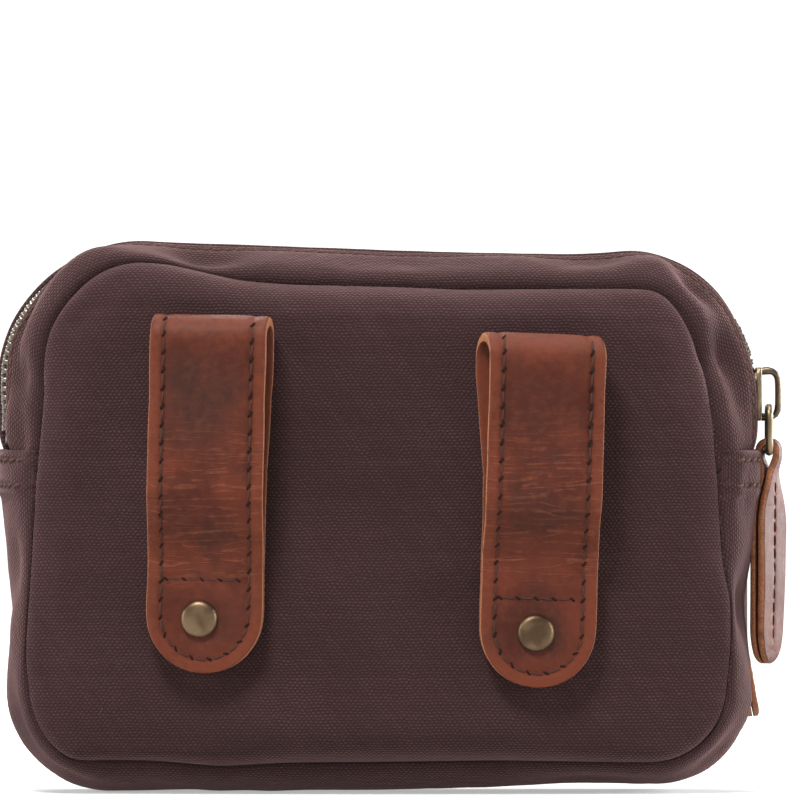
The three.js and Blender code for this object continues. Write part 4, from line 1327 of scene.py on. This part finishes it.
def bridge_part():
    """The bar over the slider that holds the ring: a low arch with a flattened top."""
    rising = [(4.9, 0.9), (5.0, 1.6), (5.05, 2.6), (4.9, 3.5), (4.4, 4.25), (3.5, 4.7), (2.2, 4.82)]
    spine = [(-u, 0, w) for u, w in rising] + [(0, 0, 4.85)] + [(u, 0, w) for u, w in rising[::-1]]
    widths = [(0.85, 1.1)] * 3 + [(0.72, 1.1)] * 9 + [(0.85, 1.1)] * 3
    return tube_part(spine, widths, (0, 1, 0))


def ring_part():
    """A wire bent into a rounded rectangle that hangs from the bridge, across the slider."""
    path = []
    low, high = RING_CORNER - RING_DROP, -RING_CORNER
    for quarter, (side, level) in enumerate(((1, high), (-1, high), (-1, low), (1, low))):
        for angle in np.linspace(quarter, quarter + 1, 8) * math.pi / 2:
            across_at = side * (RING_HALF - RING_CORNER) + RING_CORNER * math.cos(angle)
            path.append((0, across_at, level + RING_CORNER * math.sin(angle)))
    return tube_part(path, (WIRE, WIRE), (1, 0, 0), 14, True)


def tab_half(drop):
    """Half the tab's width at a distance below the ring: a neck, sloping shoulders, a blunt round end."""
    if drop < SHOULDER_END:
        half = TAB_NECK + (TAB_HALF - TAB_NECK) * smooth((drop - NECK_END) / (SHOULDER_END - NECK_END))
    else:
        half = TAB_HALF - 0.8 * min((drop - SHOULDER_END) / 22, 1)
    left = TAB_LENGTH - drop
    if left < TAB_TIP:
        half *= math.sqrt(max(1 - ((TAB_TIP - left) / TAB_TIP) ** 2, 0.0))
    return max(half, 0.35)


def tab_gap(drop):
    """Half the distance between the middles of the two layers: round the wire, then close together."""
    closed, wrapped = TAB_FACE + 0.1, WIRE + TAB_FACE + 0.35
    return wrapped + (closed - wrapped) * smooth((drop - 0.8) / 4.6) + 0.12 * bell(drop - 26, 12)


def tab_meshes(name, matrix, twist, sway, seed, body, node):
    """A strip of leather folded round the ring's lower run and sewn to itself. It twists about its length and
    its end sways outwards."""
    turned, origin = np.array(matrix.to_3x3()), np.array(matrix.translation)

    def placed(x, out, z):
        drop = max(-z, 0.0)
        angle = twist * (0.35 + 0.65 * smooth(drop / 11))
        c, s = math.cos(angle), math.sin(angle)
        swayed = out * c - x * s + sway * (drop / TAB_LENGTH) ** 2
        return turned @ np.array((swayed, out * s + x * c, z)) + origin

    def relief(x, z, layer):
        drop = -z
        rise = 0.12 * ruffle(x, layer, z, 8, seed)
        return rise - 0.2 * bell(x, 0.6) if 6 < drop < TAB_LENGTH - 4 else rise

    drops = denser(0, TAB_LENGTH, 1.5, 0.35, 4)
    radius = tab_gap(0)
    path = [(-tab_gap(d), -d) for d in drops[::-1]]
    path += [(-radius * math.cos(a), radius * math.sin(a)) for a in np.linspace(0, math.pi, 13)[1:-1]]
    path += [(tab_gap(d), -d) for d in drops]

    def row_at(i):
        z = path[i][1]
        half = tab_half(max(-z, 0))
        skived = 0.6 * math.exp(-(TAB_LENGTH + z) / 0.9)
        row = []
        for share, drop in TAB_COLUMNS:
            x = share * half
            out = TAB_FACE - drop + (relief(x, z, i) if z < 0 else 0.0) - skived
            row.append((x, out, -TAB_FACE + drop * 0.5, TAB_MARK))
        return row

    settle(leather_strip(name, path, row_at, placed), body, "leather", node)

    threads = []
    for side in (-1, 1):
        seam, normals = [], []
        for d in spaced(6.5, TAB_LENGTH - 4.5, 1):
            lift = tab_gap(d) + TAB_FACE + relief(0.0, -d, side)
            seam.append(placed(0.0, side * lift, -d))
            normals.append(placed(0.0, side * (lift + 1), -d) - seam[-1])
        threads += stitch_parts(seam, normals, 2.9, 2.3, 0.26, 0.12)
    settle(join_parts(f"stitching_{name}", threads, [BROWN_THREAD]), body, "leather")


# For each pull: the slider's frame and the places of the ring and tab, from the CAD; the tab's lean, twist and
# sway; and the start of its CAD nodes' names.
PULLS = {
    "main": {
        "slider": Matrix(((0, 0, 1, HALF), (0, -1, 0, 0), (1, 0, 0, SHOULDER_Z), (0, 0, 0, 1))),
        "ring": (84.3, 0, 83.2), "tab": (84.3, 0, 73.9), "lean": 0.0, "twist": -24, "sway": -0.6,
        "seed": 5.0, "prefix": "",
    },
    "pocket": {
        "slider": Matrix((
            (1, 0, 0, POCKET_SLIDER_X), (0, 0, 1, FRONT_OUTER_Y), (0, -1, 0, POCKET_ZIP_Z), (0, 0, 0, 1))),
        "ring": (74.6, 27.9, 70.9), "tab": (74.6, 27.9, 61.2), "lean": -5.5, "twist": 0, "sway": 2.6,
        "seed": 15.0, "prefix": "pocket_",
    },
}
for name, pull in PULLS.items():
    cad = pull["prefix"]
    ring_at = Matrix.Translation(pull["ring"])
    tab_at = Matrix.Translation(pull["tab"]) @ Matrix.Rotation(math.radians(pull["lean"]), 4, "Y")
    for piece, parts, place, material, body, node in (
            ("slider", slider_parts(), pull["slider"], BRASS, "slider", "slider_body"),
            ("bridge", [bridge_part()], pull["slider"], DARK_BRASS, "slider", "slider_crown"),
            ("link", [ring_part()], ring_at, BRASS, "ring", "pull_ring")):
        metal = join_parts(f"{name}_{piece}", [place_part(part, place) for part in parts], [material])
        settle(metal, f"{name}_{body}", "antique_brass", cad + node)
    tab_meshes(f"{name}_tab", tab_at, math.radians(pull["twist"]), pull["sway"], pull["seed"],
               f"{name}_tab", f"{cad}pull_tab")


# ---- floor, light and camera ----


def stage_material():
    """Pale paper that glows more with distance, so that the floor near the pouch doesn't flood it."""
    n = Nodes("pale_paper")
    away = n.take("Value", "ShaderNodeVectorMath", {0: n.place}, operation="LENGTH")
    mottle = n.noise(n.place, 0.004, 3.0, 0.5)
    color = n.mix(n.ramp(mottle, 0.3, 0.7), rgb(0.4, 0.4, 0.4), rgb(0.42, 0.42, 0.42))
    n.set(n.inputs["Emission Color"], rgb(1, 1, 1))
    n.set(n.inputs["Emission Strength"], n.ramp(away, 150.0, 1500.0, 0.42, 1.0))
    return n.finish(color, 0.95, specular_ior_level=0.1)


# A pale round floor that curves up into a low wall a long way outside the camera.
FLOOR_Z, FLOOR_REACH, WALL_CURVE, FLOOR_SIDES = -0.3, 4500, 1500, 64
profile = [(1500, FLOOR_Z), (FLOOR_REACH, FLOOR_Z)]
profile += [(FLOOR_REACH + WALL_CURVE * math.sin(a), FLOOR_Z + WALL_CURVE * (1 - math.cos(a)))
            for a in np.linspace(0, math.pi / 2, 12)[1:]]
angles = np.arange(FLOOR_SIDES) * TAU / FLOOR_SIDES
points = [(r * math.cos(a), r * math.sin(a), z) for r, z in profile for a in angles]
faces = grid_faces(len(profile), FLOOR_SIDES) + [tuple(range(FLOOR_SIDES))]
make_mesh("floor", points, faces, [stage_material()])

# Each light's place and aim in metres, size and power.
LIGHTS = {
    "key": ((-0.25, -0.6, 0.95), (0, 0, 0.06), 0.32, 18),
    "overhead": ((0.15, 0.0, 1.0), (0, 0, 0.1), 0.4, 7),
    "left_fill": ((-1.0, -0.25, 0.3), (-0.05, 0, 0.06), 0.5, 7),
    "right_back": ((0.72, 0.62, 0.25), (0.05, 0, 0.06), 0.45, 14),
    "right_fill": ((1.0, -0.2, 0.3), (0.05, 0, 0.06), 0.5, 9),
    "far_side": ((-0.3, 0.9, 0.75), (0, 0, 0.06), 0.6, 14),
}
scene = bpy.context.scene
for name, (place, aim, size, power) in LIGHTS.items():
    data = bpy.data.lights.new(name, "AREA")
    data.shape = "DISK"
    data.size = size
    data.energy = power
    light = bpy.data.objects.new(name, data)
    light.location = place
    light.rotation_euler = (Vector(aim) - Vector(place)).to_track_quat("-Z", "Y").to_euler()
    scene.collection.objects.link(light)

world = bpy.data.worlds.new("studio")
world.use_nodes = True
background = world.node_tree.nodes["Background"].inputs
background["Color"].default_value = (1, 1, 1, 1)
background["Strength"].default_value = 0.24
scene.world = world
scene.view_settings.view_transform = "Standard"
scene.view_settings.look = "None"

CAMERA_DISTANCE = 3.0
VIEW_WIDTH = 800 / 4.6  # of the frame at the pouch, in millimetres
SHIFT_X, SHIFT_Y = 19 / 800, 121 / 800
camera_data = bpy.data.cameras.new("camera")
camera_data.sensor_width = 36
camera_data.lens = CAMERA_DISTANCE / MM * camera_data.sensor_width / VIEW_WIDTH
camera_data.shift_x, camera_data.shift_y = SHIFT_X, SHIFT_Y
camera_data.clip_end = 20
camera = bpy.data.objects.new("camera", camera_data)
aim = Vector((0, 0, 0.0585))
rise = math.radians(0.8)
camera.location = aim + CAMERA_DISTANCE * Vector((0, -math.cos(rise), math.sin(rise)))
camera.rotation_euler = (aim - camera.location).to_track_quat("-Z", "Y").to_euler()
scene.collection.objects.link(camera)
scene.camera = camera
